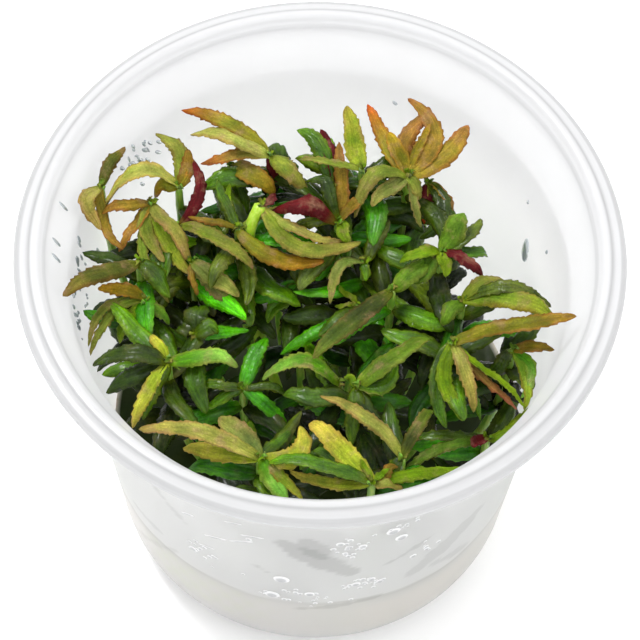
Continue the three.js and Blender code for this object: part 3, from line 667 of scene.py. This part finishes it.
def add_stem(builder, ends, leaning):
    """Adds a shoot's round stem, which swells at each whorl and is closed at both ends."""
    t = np.linspace(0, 1, STEM_ROWS)
    points = bezier(*ends, t)
    below_top = ends[2][2] - points[:, 2]
    swell = sum(NODE_SWELL * np.exp(-(((below_top - drop) / NODE_HEIGHT) ** 2))
                for drop in (0, *LOWER_LEVELS, LOWEST_NODE))
    radii = (LEANING_RADIUS if leaning else STEM_RADIUS) * (1 + swell) * (1 - STEM_TAPER * t)
    radii[-1] *= 0.6

    along = unit(np.gradient(points, axis=0))
    first = unit(np.cross(along, np.array([0.31, 0.95, 0.05])))
    second = np.cross(along, first)
    angle = np.linspace(0, 2 * np.pi, STEM_SIDES, endpoint=False)
    ring = first[:, None] * np.cos(angle)[None, :, None] + second[:, None] * np.sin(angle)[None, :, None]
    vertices, faces = closed_rings(points[:, None] + ring * radii[:, None, None], points[0], points[-1])
    tints = np.tile(to_linear(LEANING_COLOUR if leaning else STEM_COLOUR), (len(vertices), 1))
    builder.add(vertices, faces[:, ::-1], tints, slot=STEM_SLOT)


def shader_tree(name):
    material = bpy.data.materials.new(name)
    material.use_nodes = True
    material.node_tree.nodes.clear()
    return material, material.node_tree


def fill_socket(tree, socket, value):
    """Links an output to a socket, or sets the socket's value. A colour gets its fourth number here."""
    if isinstance(value, bpy.types.NodeSocket):
        tree.links.new(value, socket)
    elif socket.type == "RGBA" and len(value) == 3:
        socket.default_value = (*value, 1)
    else:
        socket.default_value = value


def node(tree, kind, inputs=None, **settings):
    """A shader node with its settings, and its inputs as values or as the outputs that feed them."""
    made = tree.nodes.new(kind)
    for key, value in settings.items():
        setattr(made, key, value)
    for key, value in (inputs or {}).items():
        fill_socket(tree, made.inputs[key], value)
    return made


def ramp(tree, value, stops):
    """A grey ramp between two stops, each a place and a level."""
    made = node(tree, "ShaderNodeValToRGB", {"Fac": value})
    for element, (place, grey) in zip(made.color_ramp.elements, stops):
        element.position = place
        element.color = (grey, grey, grey, 1)
    return made.outputs["Color"]


def mix(tree, a, b, factor, blend="MIX"):
    """Colour a changed into colour b, as far as the factor says."""
    made = node(tree, "ShaderNodeMix", data_type="RGBA", blend_type=blend)
    factor_socket, a_socket, b_socket = made.inputs[0], made.inputs[6], made.inputs[7]
    for socket, value in ((factor_socket, factor), (a_socket, a), (b_socket, b)):
        fill_socket(tree, socket, value)
    return made.outputs[2]


def multiplied(tree, colour, by):
    return mix(tree, colour, by, 1.0, "MULTIPLY")


def weighted_sum(tree, pairs):
    """The sum of (value, weight) pairs."""
    total = 0.0
    for value, weight in pairs:
        part = node(tree, "ShaderNodeMath", {0: value, 1: weight}, operation="MULTIPLY").outputs[0]
        total = node(tree, "ShaderNodeMath", {0: part, 1: total}, operation="ADD").outputs[0]
    return total


def noise(tree, vector, scale, detail=3, roughness=0.5):
    inputs = {"Vector": vector, "Scale": scale, "Detail": detail, "Roughness": roughness}
    return node(tree, "ShaderNodeTexNoise", inputs).outputs["Fac"]


def tint_of(tree):
    """The colour that the mesh's vertices carry."""
    return node(tree, "ShaderNodeAttribute", attribute_name="tint").outputs["Color"]


def position_of(tree):
    return node(tree, "ShaderNodeTexCoord").outputs["Object"]


def stretched(tree, vector, scale):
    return node(tree, "ShaderNodeMapping", {"Vector": vector, "Scale": scale}).outputs["Vector"]


def bumps(tree, height, strength, distance):
    inputs = {"Height": height, "Strength": strength, "Distance": distance}
    return node(tree, "ShaderNodeBump", inputs).outputs["Normal"]


def surface(tree, colour, roughness, **inputs):
    """A surface with this colour and roughness. Other inputs have _ for the spaces in their names."""
    named = {key.replace("_", " "): value for key, value in inputs.items()}
    return node(tree, "ShaderNodeBsdfPrincipled", {"Base Color": colour, "Roughness": roughness, **named})


def with_glow(tree, skin, share, **inputs):
    """The surface, with a share of the light passed through it scattered."""
    glow = node(tree, "ShaderNodeBsdfTranslucent", inputs)
    return node(tree, "ShaderNodeMixShader", {"Fac": share, 1: skin.outputs[0], 2: glow.outputs[0]})


def finished(material, skin):
    node(material.node_tree, "ShaderNodeOutputMaterial", {"Surface": skin.outputs[0]})
    return material


# How dry and wet leaves look: the tints of their mottles and of their streaks, which are partly painted
# highlights, how brown their patches are, the height of their relief, the roughness of their smooth and
# rough parts, their sheen and their wet coat
DRY_LEAF = {
    "mottle": (0.46, 0.7, 0.4), "streak": (1.35, 1.35, 1.3), "brown": 0.55, "relief": 0.6,
    "roughness": (0.32, 0.55), "sheen": 0.16, "coat": 0.0,
}
WET_LEAF = {
    "mottle": (0.3, 0.42, 0.2), "streak": (1.65, 1.65, 1.4), "brown": 0.1, "relief": 0.8,
    "roughness": (0.1, 0.26), "sheen": 0.3, "coat": 0.2,
}
BROWN_PATCH = (0.33, 0.19, 0.11)
WATER_IOR = 1.33


def leaf_material(name, look):
    """A leaf's blade: its own tint, with mottles, lengthwise streaks that are partly texture and partly
    painted highlights, a faint midrib, grain, and specks that are partly a dewy texture and partly painted
    glints.
    """
    material, tree = shader_tree(name)
    tint, position = tint_of(tree), position_of(tree)
    place = node(tree, "ShaderNodeAttribute", attribute_name="place").outputs["Vector"]
    across = node(tree, "ShaderNodeSeparateXYZ", {"Vector": place}).outputs["Y"]
    spread = node(tree, "ShaderNodeMath", {0: across}, operation="ABSOLUTE").outputs[0]
    streaks = noise(tree, stretched(tree, place, (0.4, 4.5, 1.0)), 1.0, 3, 0.6)
    broad = noise(tree, position, 330.0, 4, 0.6)
    grain = noise(tree, position, 2100.0, 3, 0.65)
    specks = noise(tree, position, 3400.0, 2)

    mottle = multiplied(tree, tint, look["mottle"])
    colour = mix(tree, mottle, tint, ramp(tree, broad, [(0.32, 0.3), (0.54, 1.0)]))
    colour = mix(tree, colour, BROWN_PATCH, ramp(tree, broad, [(0.54, 0.0), (0.74, look["brown"])]))
    # Lighter streaks along the leaf: partly texture, partly painted highlights
    light = multiplied(tree, colour, look["streak"])
    colour = mix(tree, colour, light, ramp(tree, streaks, [(0.42, 0.0), (0.62, 1.0)]))
    deep = multiplied(tree, colour, (0.72, 0.74, 0.66))
    colour = mix(tree, deep, colour, ramp(tree, grain, [(0.36, 0.2), (0.5, 1.0)]))
    # Pale specks: partly a dewy texture, partly painted glints
    pale = multiplied(tree, colour, (1.35, 1.35, 1.6))
    colour = mix(tree, colour, pale, ramp(tree, specks, [(0.55, 0.0), (0.7, 1.0)]))
    colour = mix(tree, colour, light, ramp(tree, spread, [(0.0, 0.28), (0.08, 0.0)]))

    relief = weighted_sum(tree, [(streaks, 0.4), (grain, 0.8), (broad, 0.8)])
    bump = bumps(tree, relief, look["relief"], 0.00028)
    smooth, rough = look["roughness"]
    skin = surface(
        tree, colour, ramp(tree, grain, [(0.35, smooth), (0.65, rough)]), Normal=bump, IOR=1.4,
        Specular_IOR_Level=look["sheen"], Coat_Weight=look["coat"], Coat_Roughness=0.1,
    )
    through = multiplied(tree, colour, (0.95, 1.0, 0.4))
    return finished(material, with_glow(tree, skin, 0.25, Color=through, Normal=bump))


def stem_material():
    """A smooth juicy stem, lime green with faint lengthwise streaks and redder blotches."""
    material, tree = shader_tree("stem_skin")
    position = position_of(tree)
    streaks = noise(tree, stretched(tree, position, (1.0, 1.0, 0.12)), 2400.0, 2)
    blotches = noise(tree, position, 300.0)
    colour = mix(tree, tint_of(tree), (0.62, 0.75, 0.16), ramp(tree, streaks, [(0.4, 0.0), (0.7, 0.45)]))
    colour = mix(tree, colour, (0.3, 0.14, 0.03), ramp(tree, blotches, [(0.6, 0.0), (0.75, 0.35)]))
    skin = surface(
        tree, colour, ramp(tree, blotches, [(0.3, 0.28), (0.7, 0.45)]), Specular_IOR_Level=0.5,
        Normal=bumps(tree, streaks, 0.35, 0.0001), Subsurface_Weight=0.25, Subsurface_Scale=0.001,
    )
    return finished(material, skin)


def tub_material():
    """Milky moulded plastic, which passes some light clear and some scattered and turns some back."""
    material, tree = shader_tree("milky_plastic")
    position = position_of(tree)
    clouds = noise(tree, position, 34.0, 2)
    haze = noise(tree, position, 120.0)
    colour = mix(tree, (0.975, 0.974, 0.976), (0.992, 0.991, 0.993), clouds)
    colour = mix(tree, colour, (0.962, 0.962, 0.966), ramp(tree, haze, [(0.35, 0.0), (0.75, 0.4)]))
    colour = multiplied(tree, colour, tint_of(tree))
    wall = surface(
        tree, colour, ramp(tree, clouds, [(0.3, 0.2), (0.7, 0.26)]), IOR=1.45,
        Transmission_Weight=TUB_CLEARNESS, Specular_IOR_Level=0.4,
    )
    return finished(material, with_glow(tree, wall, TUB_GLOW, Color=colour))


def bead_material():
    """Water beads that show through the wall, with painted shade grey in the middle and a painted highlight
    white at the edge.
    """
    material, tree = shader_tree("wall_bead")
    shade = noise(tree, position_of(tree), 900.0, 2)
    colour = mix(tree, tint_of(tree), (0.9, 0.91, 0.92), ramp(tree, shade, [(0.45, 0.0), (0.75, 0.3)]))
    roughness = ramp(tree, shade, [(0.3, 0.08), (0.7, 0.2)])
    skin = surface(tree, colour, roughness, IOR=WATER_IOR, Specular_IOR_Level=0.5)
    return finished(material, with_glow(tree, skin, 0.35, Color=colour))


def gel_material():
    """Cloudy nutrient gel, cream with greener patches and dark specks."""
    material, tree = shader_tree("nutrient_gel")
    position = position_of(tree)
    clouds = noise(tree, position, 60.0, 4)
    specks = noise(tree, position, 420.0)
    patches = noise(tree, position, 32.0, 2)
    cream, pale_cream = (0.55, 0.52, 0.44), (0.74, 0.70, 0.62)
    colour = mix(tree, cream, pale_cream, ramp(tree, clouds, [(0.35, 0.0), (0.65, 1.0)]))
    colour = mix(tree, colour, (0.42, 0.46, 0.22), ramp(tree, patches, [(0.45, 0.0), (0.62, 0.6)]))
    colour = mix(tree, colour, (0.2, 0.22, 0.08), ramp(tree, specks, [(0.62, 0.0), (0.75, 0.5)]))
    colour = multiplied(tree, colour, tint_of(tree))
    skin = surface(
        tree, colour, ramp(tree, specks, [(0.3, 0.3), (0.7, 0.5)]), Specular_IOR_Level=0.1,
        Normal=bumps(tree, specks, 0.4, 0.0003), Subsurface_Weight=0.1, Subsurface_Scale=0.002,
    )
    return finished(material, skin)


def water_material():
    """Clear water, with the faint grey of the wall behind it."""
    material, tree = shader_tree("water_drop")
    ripples = noise(tree, position_of(tree), 700.0, 1)
    bump = bumps(tree, ripples, 0.1, 0.0002)
    skin = surface(
        tree, (0.93, 0.96, 0.97), 0.03, Normal=bump, IOR=WATER_IOR,
        Transmission_Weight=1.0, Specular_IOR_Level=0.6,
    )
    return finished(material, with_glow(tree, skin, 0.35, Color=(0.62, 0.68, 0.72), Normal=bump))


def floor_material():
    material, tree = shader_tree("pale_floor")
    grain = noise(tree, position_of(tree), 40.0)
    colour = mix(tree, (0.96, 0.96, 0.96), (0.98, 0.98, 0.98), grain)
    return finished(material, surface(tree, colour, 0.7, Specular_IOR_Level=0.2))


def corner(start_radius, start_height, end_radius, end_height, steps):
    """Points on a rounded corner, from flat at its start to upright at its end."""
    angle = np.linspace(0, math.pi / 2, steps + 1)
    return np.stack([
        start_radius + (end_radius - start_radius) * np.sin(angle),
        start_height + (end_height - start_height) * (1 - np.cos(angle)),
    ], -1)


def rounded(points, times):
    """The open line with its corners cut, which rounds them, and its two ends kept."""
    for _ in range(times):
        a, b = points[:-1], points[1:]
        cut = np.stack([0.75 * a + 0.25 * b, 0.25 * a + 0.75 * b], 1).reshape(-1, 2)
        points = np.vstack([points[:1], cut, points[-1:]])
    return points


def lathe(profile, sides):
    """Vertices and faces of a closed profile turned round the Z axis. Its two ends are on the axis."""
    angle = np.linspace(0, 2 * np.pi, sides, endpoint=False)
    radius, height = profile[1:-1, :1], profile[1:-1, 1:]
    rings = np.stack([radius * np.cos(angle), radius * np.sin(angle), height * np.ones(sides)], -1)
    return closed_rings(rings, [0, 0, profile[0, 1]], [0, 0, profile[-1, 1]])


def tub_profile():
    """The tub's outline as radius and height: up its outside, over its rim and down its inside."""
    top = TUB_HEIGHT
    shoulder, eased, straight = 81, 74, 70
    rim = np.array([
        [outer_radius(WALL_TOP), WALL_TOP], [45.25, top - 8], [46.8, top - 5], [48.2, top - 2.8],
        [50.9, top - 2.6], [51.4, top - 3], [52.1, top - 2.9], [RIM_RADIUS, top - 2.2],
        [RIM_RADIUS, top - 1.4], [51.8, top - 0.8], [50.3, top - 0.5], [49.6, top], [48.4, top],
        [47.7, top - 1.3], [47.25, top - 1.8], [inner_radius(top - 3.4), top - 3.4],
        [inner_radius(shoulder) + 0.08, shoulder], [inner_radius(WALL_TOP) + 0.3, WALL_TOP],
        [inner_radius(eased) + 0.14, eased], [inner_radius(straight), straight],
    ])
    going_up = np.linspace(CORNER_HEIGHT, WALL_TOP, 92)[1:-1]
    going_down = np.linspace(CORNER_HEIGHT, straight, 22)[-2:0:-1]
    outside = corner(FOOT_RADIUS, 0, outer_radius(CORNER_HEIGHT), CORNER_HEIGHT, 16)
    inside = corner(FOOT_RADIUS, INNER_FLOOR, inner_radius(CORNER_HEIGHT), CORNER_HEIGHT, 10)[::-1]
    up = np.stack([outer_radius(going_up), going_up], -1)
    down = np.stack([inner_radius(going_down), going_down], -1)
    return np.vstack([[0, 0], outside, up, rounded(rim, 2), down, inside, [0, INNER_FLOOR]])


def painted_rim_shade(z, radius, outside):
    """Painted shade that darkens the rim and the inside of the mouth a little, with a bluer cast, and greys
    the rim's grooves.
    """
    on_rim = smooth_step(z, TUB_HEIGHT - 4.5, TUB_HEIGHT - 3)
    grooves = sum(dark * band(radius, middle, half) for middle, half, dark in RIM_GROOVE_PAINTED_SHADES)
    in_mouth = smooth_step(z, 58, 80) * (1 - on_rim) * ~outside
    # Painted shade on the rim, in its grooves and inside the mouth
    shade = 1 - on_rim * (1 - RIM_PAINTED_SHADE_TINT) - on_rim * grooves - in_mouth * (1 - MOUTH_PAINTED_SHADE_TINT)
    return shade[:, None] * (1 - (on_rim + in_mouth)[:, None] * COOL_SHADE)


def gel_tint(z, angle, outside):
    """The gel behind the wall: a dark line on top, greener parts at the left and pinker at the right."""
    turn = np.radians(angle)
    line = GEL_TOP + 0.6 + 0.5 * np.sin(3 * turn + 1) + 0.35 * np.sin(8 * turn) + 0.2 * np.sin(19 * turn + 2)
    behind = (1 - smooth_step(z, line - 0.5, line + 0.5)) * outside
    edge = np.exp(-np.maximum(0, line - z) / 1.6) * behind * (0.75 + 0.25 * np.sin(5 * turn + 0.5))
    patches = 0.5 + 0.5 * np.sin(angle * 0.9) * np.sin(z * 0.8)
    left = (band(angle, -122, 12, 16) * band(z, 20, 5, 4) * patches)[:, None]
    right = (band(angle, -57, 12, 14) * band(z, 16, 5, 4))[:, None]
    gel = 0.985 * GEL_CREAM * (1 - left - right) + GEL_GREEN * left + GEL_PINK * right
    # Painted shade on the outside of the wall towards its foot
    foot = (1 - smooth_step(z, 4, 13)) * outside
    tint = (1 - behind[:, None] * (1 - gel)) * (1 - 0.28 * edge)[:, None]
    return tint * (1 - foot[:, None] * FOOT_SHADE)


def painted_back_leaf_shadows():
    """Painted shadows of leaves that touch the wall at its sides and back, placed at random."""
    marks = []
    for angle in range(-28, 160, 13):
        start, rise, turn = rng.uniform(33, 52), rng.uniform(-14, 12), rng.uniform(-14, 14)
        end = float(np.clip(start + rise, 31, 56))
        marks.append((angle, start, angle + turn, end, rng.uniform(1.5, 5.5), rng.uniform(0.06, 0.12)))
    return marks


def on_wall(angle, z):
    """A place on the wall's outside as its distance round the tub and its height."""
    return np.stack([np.radians(angle) * outer_radius(z), z], -1)


def leaf_shadow(places, mark):
    """How much the painted shadow of one leaf against the wall darkens each of these places, from 0 to its
    darkness.
    """
    from_angle, from_z, to_angle, to_z, width, dark = mark
    start = on_wall(from_angle, from_z)
    run = on_wall(to_angle, to_z) - start
    length = np.linalg.norm(run)
    offset = places - start
    share = np.clip(offset @ run / length**2, 0, 1)
    gap = np.linalg.norm(offset - share[:, None] * run, axis=1)
    half = width / 2 * (0.35 + 0.65 * np.sin(np.pi * np.clip(share, 0.04, 0.96)) ** 0.5)
    half = half + 0.5 * (1 - share) * (np.abs((share * length / 1.9) % 1) - 0.5)
    half = half + 0.3 * np.sin(share * length * 0.9 + 2) + 0.2 * np.sin(share * length * 2.3)
    return 1.3 * dark * (1 - smooth_step(gap, half - 0.35, half + 0.15))


def tub_tints(points):
    """The wall's tint: painted shade on the rim, its grooves, the mouth, the front, the foot and behind
    leaves, the gel behind the wall and painted shadows of the leaves that touch it.
    """
    x, y, z = points.T
    radius, angle = np.hypot(x, y), np.degrees(np.arctan2(y, x))
    outside = radius > inner_radius(z) + 0.55 * WALL
    at_front = band(angle, -90, 45, 30)
    # Painted shade on the inside of the front wall, below the mouth
    inner_front = at_front * (radius < outer_radius(z) - 0.6 * WALL) * (1 - smooth_step(z, 60, 74))
    # Painted shade on the outside of the sides and back, where leaves stand behind the wall
    leaves_behind = band(z, 44, 12, 9) * (1 - at_front) * outside
    tint = painted_rim_shade(z, radius, outside) * gel_tint(z, angle, outside)
    tint = tint * (1 - FRONT_SHADE * inner_front)[:, None] * (1 - leaves_behind[:, None] * LEAVES_SHADE)
    places = on_wall(angle, z)
    # Painted shadows of the leaves against the wall
    for mark in (*PAINTED_LEAF_SHADOWS, *painted_back_leaf_shadows()):
        tint = tint * (1 - leaf_shadow(places, mark) * outside)[:, None]
    return tint


def add_drop(builder, angle, height, half_width, half_height, bulge, outside, lean=0.0):
    """A bead of water on the wall, domed away from it, with painted shade grey in its middle and a painted
    highlight white at its edge.
    """
    rings, sides = BIG_DROP_MESH if half_width > 0.6 else SMALL_DROP_MESH
    reach = np.sin(np.linspace(0.02, np.pi / 2, rings))
    turn = np.linspace(0, 2 * np.pi, sides, endpoint=False)
    across = half_width * reach[:, None] * np.cos(turn)
    up = half_height * reach[:, None] * np.sin(turn)
    lean = math.radians(lean)
    across, up = across * math.cos(lean) + up * math.sin(lean), up * math.cos(lean) - across * math.sin(lean)
    dome = bulge * np.sqrt(np.maximum(0, 1 - reach**2))[:, None] * np.ones(sides)
    z = height + up
    wall = outer_radius(z) + 0.01 if outside else inner_radius(z) - 0.01
    sign = 1 if outside else -1
    # Painted shade grey in the middle and a painted highlight white at the edge
    white = smooth_step(reach, 0.55, 0.8)[:, None, None] * np.ones((1, sides, 1))
    colour = to_linear(DROP_PAINTED_SHADE) * (1 - white) + to_linear(DROP_PAINTED_HIGHLIGHT) * white
    vertices, tints = [], []
    for offset, order in ((dome + 0.02, 1), (np.full_like(dome, -0.06), -1)):
        radius = wall + sign * offset
        around = math.radians(angle) + across / radius
        points = np.stack([radius * np.cos(around), radius * np.sin(around), z], -1)
        vertices.append(points[::order].reshape(-1, 3))
        tints.append(colour[::order].reshape(-1, 3))
    faces = grid_faces(2 * rings, sides, closed=True)
    caps = []
    for i in range(1, sides - 1, 2):
        caps.append([0, i, i + 1, (i + 2) % sides])
        caps.append([(2 * rings - 1) * sides + k for k in ((i + 2) % sides, i + 1, i, 0)])
    faces = np.vstack([faces, [cap for cap in caps if len(set(cap)) == 4]])
    builder.add(np.vstack(vertices), faces if outside else faces[:, ::-1], np.vstack(tints))


def small_drops():
    """The drops of the clusters, each as its angle, height, half width, half height and lean."""
    drops = []
    for angle, height, reach, rise, count, length in DROP_CLUSTERS:
        for turn, up in rng.normal(0, 0.5, (count, 2)):
            size = (rng.uniform(0.2, 0.35), length * rng.uniform(0.5, 1.2))
            drops.append((angle + reach * turn, height + rise * up, *size, rng.uniform(0, 25)))
    return drops


def make_water():
    """Beads and streaks on the wall's front and drops inside its back."""
    beads, drops = Builder(), Builder()
    for angle, height, half in BEADS:
        add_drop(beads, angle, height, half, half * 1.05, 0.16 * half, True)
    for angle, height, reach, rise, count in BEAD_CLUSTERS:
        turns, ups = rng.normal(0, 0.5, count), rng.normal(0, 0.5, count)
        for turn, up, half in zip(turns, ups, rng.uniform(0.25, 0.55, count)):
            add_drop(beads, angle + reach * turn, height + rise * up, half, half, 0.2 * half, True)
    for angle, height, half_length, half_thick, lean in STREAKS:
        add_drop(beads, angle, height, half_length, half_thick, 0.06, True, lean)
    for angle, height, half_width, half_height, lean in (*DROPS, *small_drops()):
        add_drop(drops, angle, height, half_width, half_height, 0.6 * half_width + 0.1, False, lean)
    for piece in (beads.build("wall_beads", [bead]), drops.build("wall_drops", [water])):
        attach(piece, "root")
        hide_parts("tub")


def make_tub():
    builder = Builder()
    vertices, faces = lathe(tub_profile(), TUB_SIDES)
    builder.add(vertices, faces, tub_tints(vertices))
    tub = builder.build("moulded_tub", [milky])
    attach(tub, "root")
    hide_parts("tub")


def make_gel():
    """The gel, with a surface that climbs a little at the wall and is uneven between the stems."""
    wall, low, dip = inner_radius(GEL_TOP) - WALL_CLEARANCE, INNER_FLOOR + GEL_GAP, GEL_TOP - GEL_DIP
    side_foot = inner_radius(CORNER_HEIGHT) - WALL_CLEARANCE
    under = corner(FOOT_RADIUS - GEL_GAP, low, side_foot, CORNER_HEIGHT + GEL_GAP, 12)
    heights = np.linspace(CORNER_HEIGHT + 1, GEL_TOP - 0.2, 8)
    side = np.stack([inner_radius(heights) - WALL_CLEARANCE, heights], -1)
    radii = np.linspace(wall, 0.8, 40)
    climb = GEL_DIP * np.exp((radii - wall) / 1.6)
    top = np.stack([radii, dip + climb], -1)
    vertices, faces = lathe(np.vstack([[0, low], under, side, top, [0, dip]]), GEL_SIDES)
    x, y, z = vertices.T
    radius = np.hypot(x, y)
    on_top = (z > GEL_TOP - 1) & (radius < wall - 1)
    z[on_top] += 0.3 * np.sin(x[on_top] * 0.5 + 1) * np.sin(y[on_top] * 0.6)
    # Painted shade on the gel's upper face, except at the back
    shaded = (1 - smooth_step(y, 22, 30)) * ((z > GEL_TOP - 1.5) & (radius < wall - 0.3))
    builder = Builder()
    builder.add(vertices, faces, 1 - shaded[:, None] * (1 - np.array(GEL_TOP_PAINTED_SHADE)))
    gel = builder.build("cloudy_gel", [gel_skin])
    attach(gel, "root")
    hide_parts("gel")


def add_bud(builder, top, number):
    """The small leaflets of a shoot's topmost bud."""
    for k in range(BUD_LEAVES):
        angle = 2 * math.pi * (k + rng.uniform(-0.2, 0.2)) / BUD_LEAVES
        leaflet = (0.7 * math.cos(angle), 0.7 * math.sin(angle), rng.uniform(0.8, 1.5), 0.2, 0, 0.8)
        add_leaf(builder, top, leaflet, BUD_TONES[(number + k) % len(BUD_TONES)])


def make_shoots():
    """Every shoot: its top leaves and bud, its older leaves lower down and its stem."""
    stems = [stem_ends(top, number) for number, (top, _) in enumerate(SHOOTS, 1)]
    taken = []
    for (_, leaves), ends in zip(SHOOTS, stems):
        on_leaves = [leaf_points(ends[2], leaf) for leaf in leaves]
        taken.append(np.vstack([*on_leaves, bezier(*ends, np.linspace(0, 1, 13))]))
    for i, (_, leaves) in enumerate(SHOOTS):
        top, curve = stems[i][2], bezier(*stems[i], np.linspace(0, 1, 61))
        builder = Builder()
        for *leaf, tone in leaves:
            add_leaf(builder, top, leaf, tone)
        add_bud(builder, top, i)
        others = np.vstack([points for k, points in enumerate(taken) if k != i])
        for level, drop in enumerate(LOWER_LEVELS, 1):
            base = curve[np.argmax(curve[:, 2] >= top[2] - drop)]
            for k, leaf in enumerate(lower_whorl(base, others)):
                tone = LOWER_TONES[(4 * i + k + 2 * (level - 1)) % len(LOWER_TONES)]
                add_leaf(builder, base, leaf, tone, level)
                taken[i] = np.vstack([taken[i], leaf_points(base, leaf)])
        add_stem(builder, stems[i], i + 1 == LEANING_SHOOT)
        shoot = builder.build(f"leafy_shoot_{i + 1:02d}", [stem_skin, leaf_dry, leaf_wet])
        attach(shoot, "root")
        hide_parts(f"shoot_{i + 1:02d}")


leaf_dry = leaf_material("leaf_dry", DRY_LEAF)
leaf_wet = leaf_material("leaf_wet", WET_LEAF)
stem_skin = stem_material()
milky = tub_material()
gel_skin = gel_material()
water = water_material()
bead = bead_material()

make_tub()
make_water()
make_gel()
make_shoots()

# Floor, just under the tub (metres)
FLOOR_REACH = 3.0
FLOOR_LEVEL = -0.0002

floor_mesh = bpy.data.meshes.new("floor")
square = ((-1, -1), (1, -1), (1, 1), (-1, 1))
floor_corners = [(x * FLOOR_REACH, y * FLOOR_REACH, FLOOR_LEVEL) for x, y in square]
floor_mesh.from_pydata(floor_corners, [], [(0, 1, 2, 3)])
floor_mesh.materials.append(floor_material())
floor = bpy.data.objects.new("floor", floor_mesh)
bpy.context.scene.collection.objects.link(floor)

# Camera, fitted to the tub's rim and outline in the photo: lengths in metres, lens and film in millimetres
CAMERA_DISTANCE = 0.53364
CAMERA_ELEVATION = math.radians(59.97)
CAMERA_ROLL = math.radians(1.94)
CAMERA_TARGET = np.array([0.00029, 0, 0.06293])
CAMERA_LENS = 168.75
CAMERA_FILM = 36
CAMERA_NEAR = 0.01

# Lamps and the sky's light: power in watts, places and sizes in metres
LAMP_TARGET = (0, 0, 0.05)
KEY_PLACE, KEY_SIZE, KEY_POWER = (-0.3, 0.25, 0.9), 0.22, 5.6
FILL_PLACE, FILL_SIZE, FILL_POWER = (0.5, -0.5, 0.7), 0.7, 1.7
SKY_STRENGTH = 1.24


def add_to_stage(name, data, right, above, away, position):
    """Links a camera or lamp at a position, with its right, upper and rear sides turned these ways."""
    made = bpy.data.objects.new(name, data)
    pose = Matrix.Identity(4)
    for column, vector in enumerate((right, above, away, position)):
        for row in range(3):
            pose[row][column] = vector[row]
    made.matrix_world = pose
    bpy.context.scene.collection.objects.link(made)
    return made


def add_camera():
    back = np.array([0, -math.cos(CAMERA_ELEVATION), math.sin(CAMERA_ELEVATION)])
    level = np.array([1.0, 0, 0])
    upward = np.cross(back, level)
    right = level * math.cos(CAMERA_ROLL) + upward * math.sin(CAMERA_ROLL)
    above = upward * math.cos(CAMERA_ROLL) - level * math.sin(CAMERA_ROLL)
    data = bpy.data.cameras.new("camera")
    data.lens, data.sensor_width, data.clip_start = CAMERA_LENS, CAMERA_FILM, CAMERA_NEAR
    place = CAMERA_TARGET + CAMERA_DISTANCE * back
    bpy.context.scene.camera = add_to_stage("camera", data, right, above, back, place)


def add_light(name, position, size, power):
    """A soft square lamp at a position, turned to the tub."""
    data = bpy.data.lights.new(name, "AREA")
    data.size, data.energy = size, power
    away = unit(np.array(position, float) - np.array(LAMP_TARGET, float))
    sideways = unit(np.cross([0.02, 0.01, 1], away))
    add_to_stage(name, data, sideways, np.cross(away, sideways), away, position)


add_camera()
add_light("key", KEY_PLACE, KEY_SIZE, KEY_POWER)
add_light("fill", FILL_PLACE, FILL_SIZE, FILL_POWER)

world = bpy.data.worlds.new("studio")
world.use_nodes = True
sky = world.node_tree.nodes["Background"].inputs
sky["Color"].default_value = (1, 1, 1, 1)
sky["Strength"].default_value = SKY_STRENGTH
bpy.context.scene.world = world
bpy.context.scene.view_settings.view_transform = "Standard"
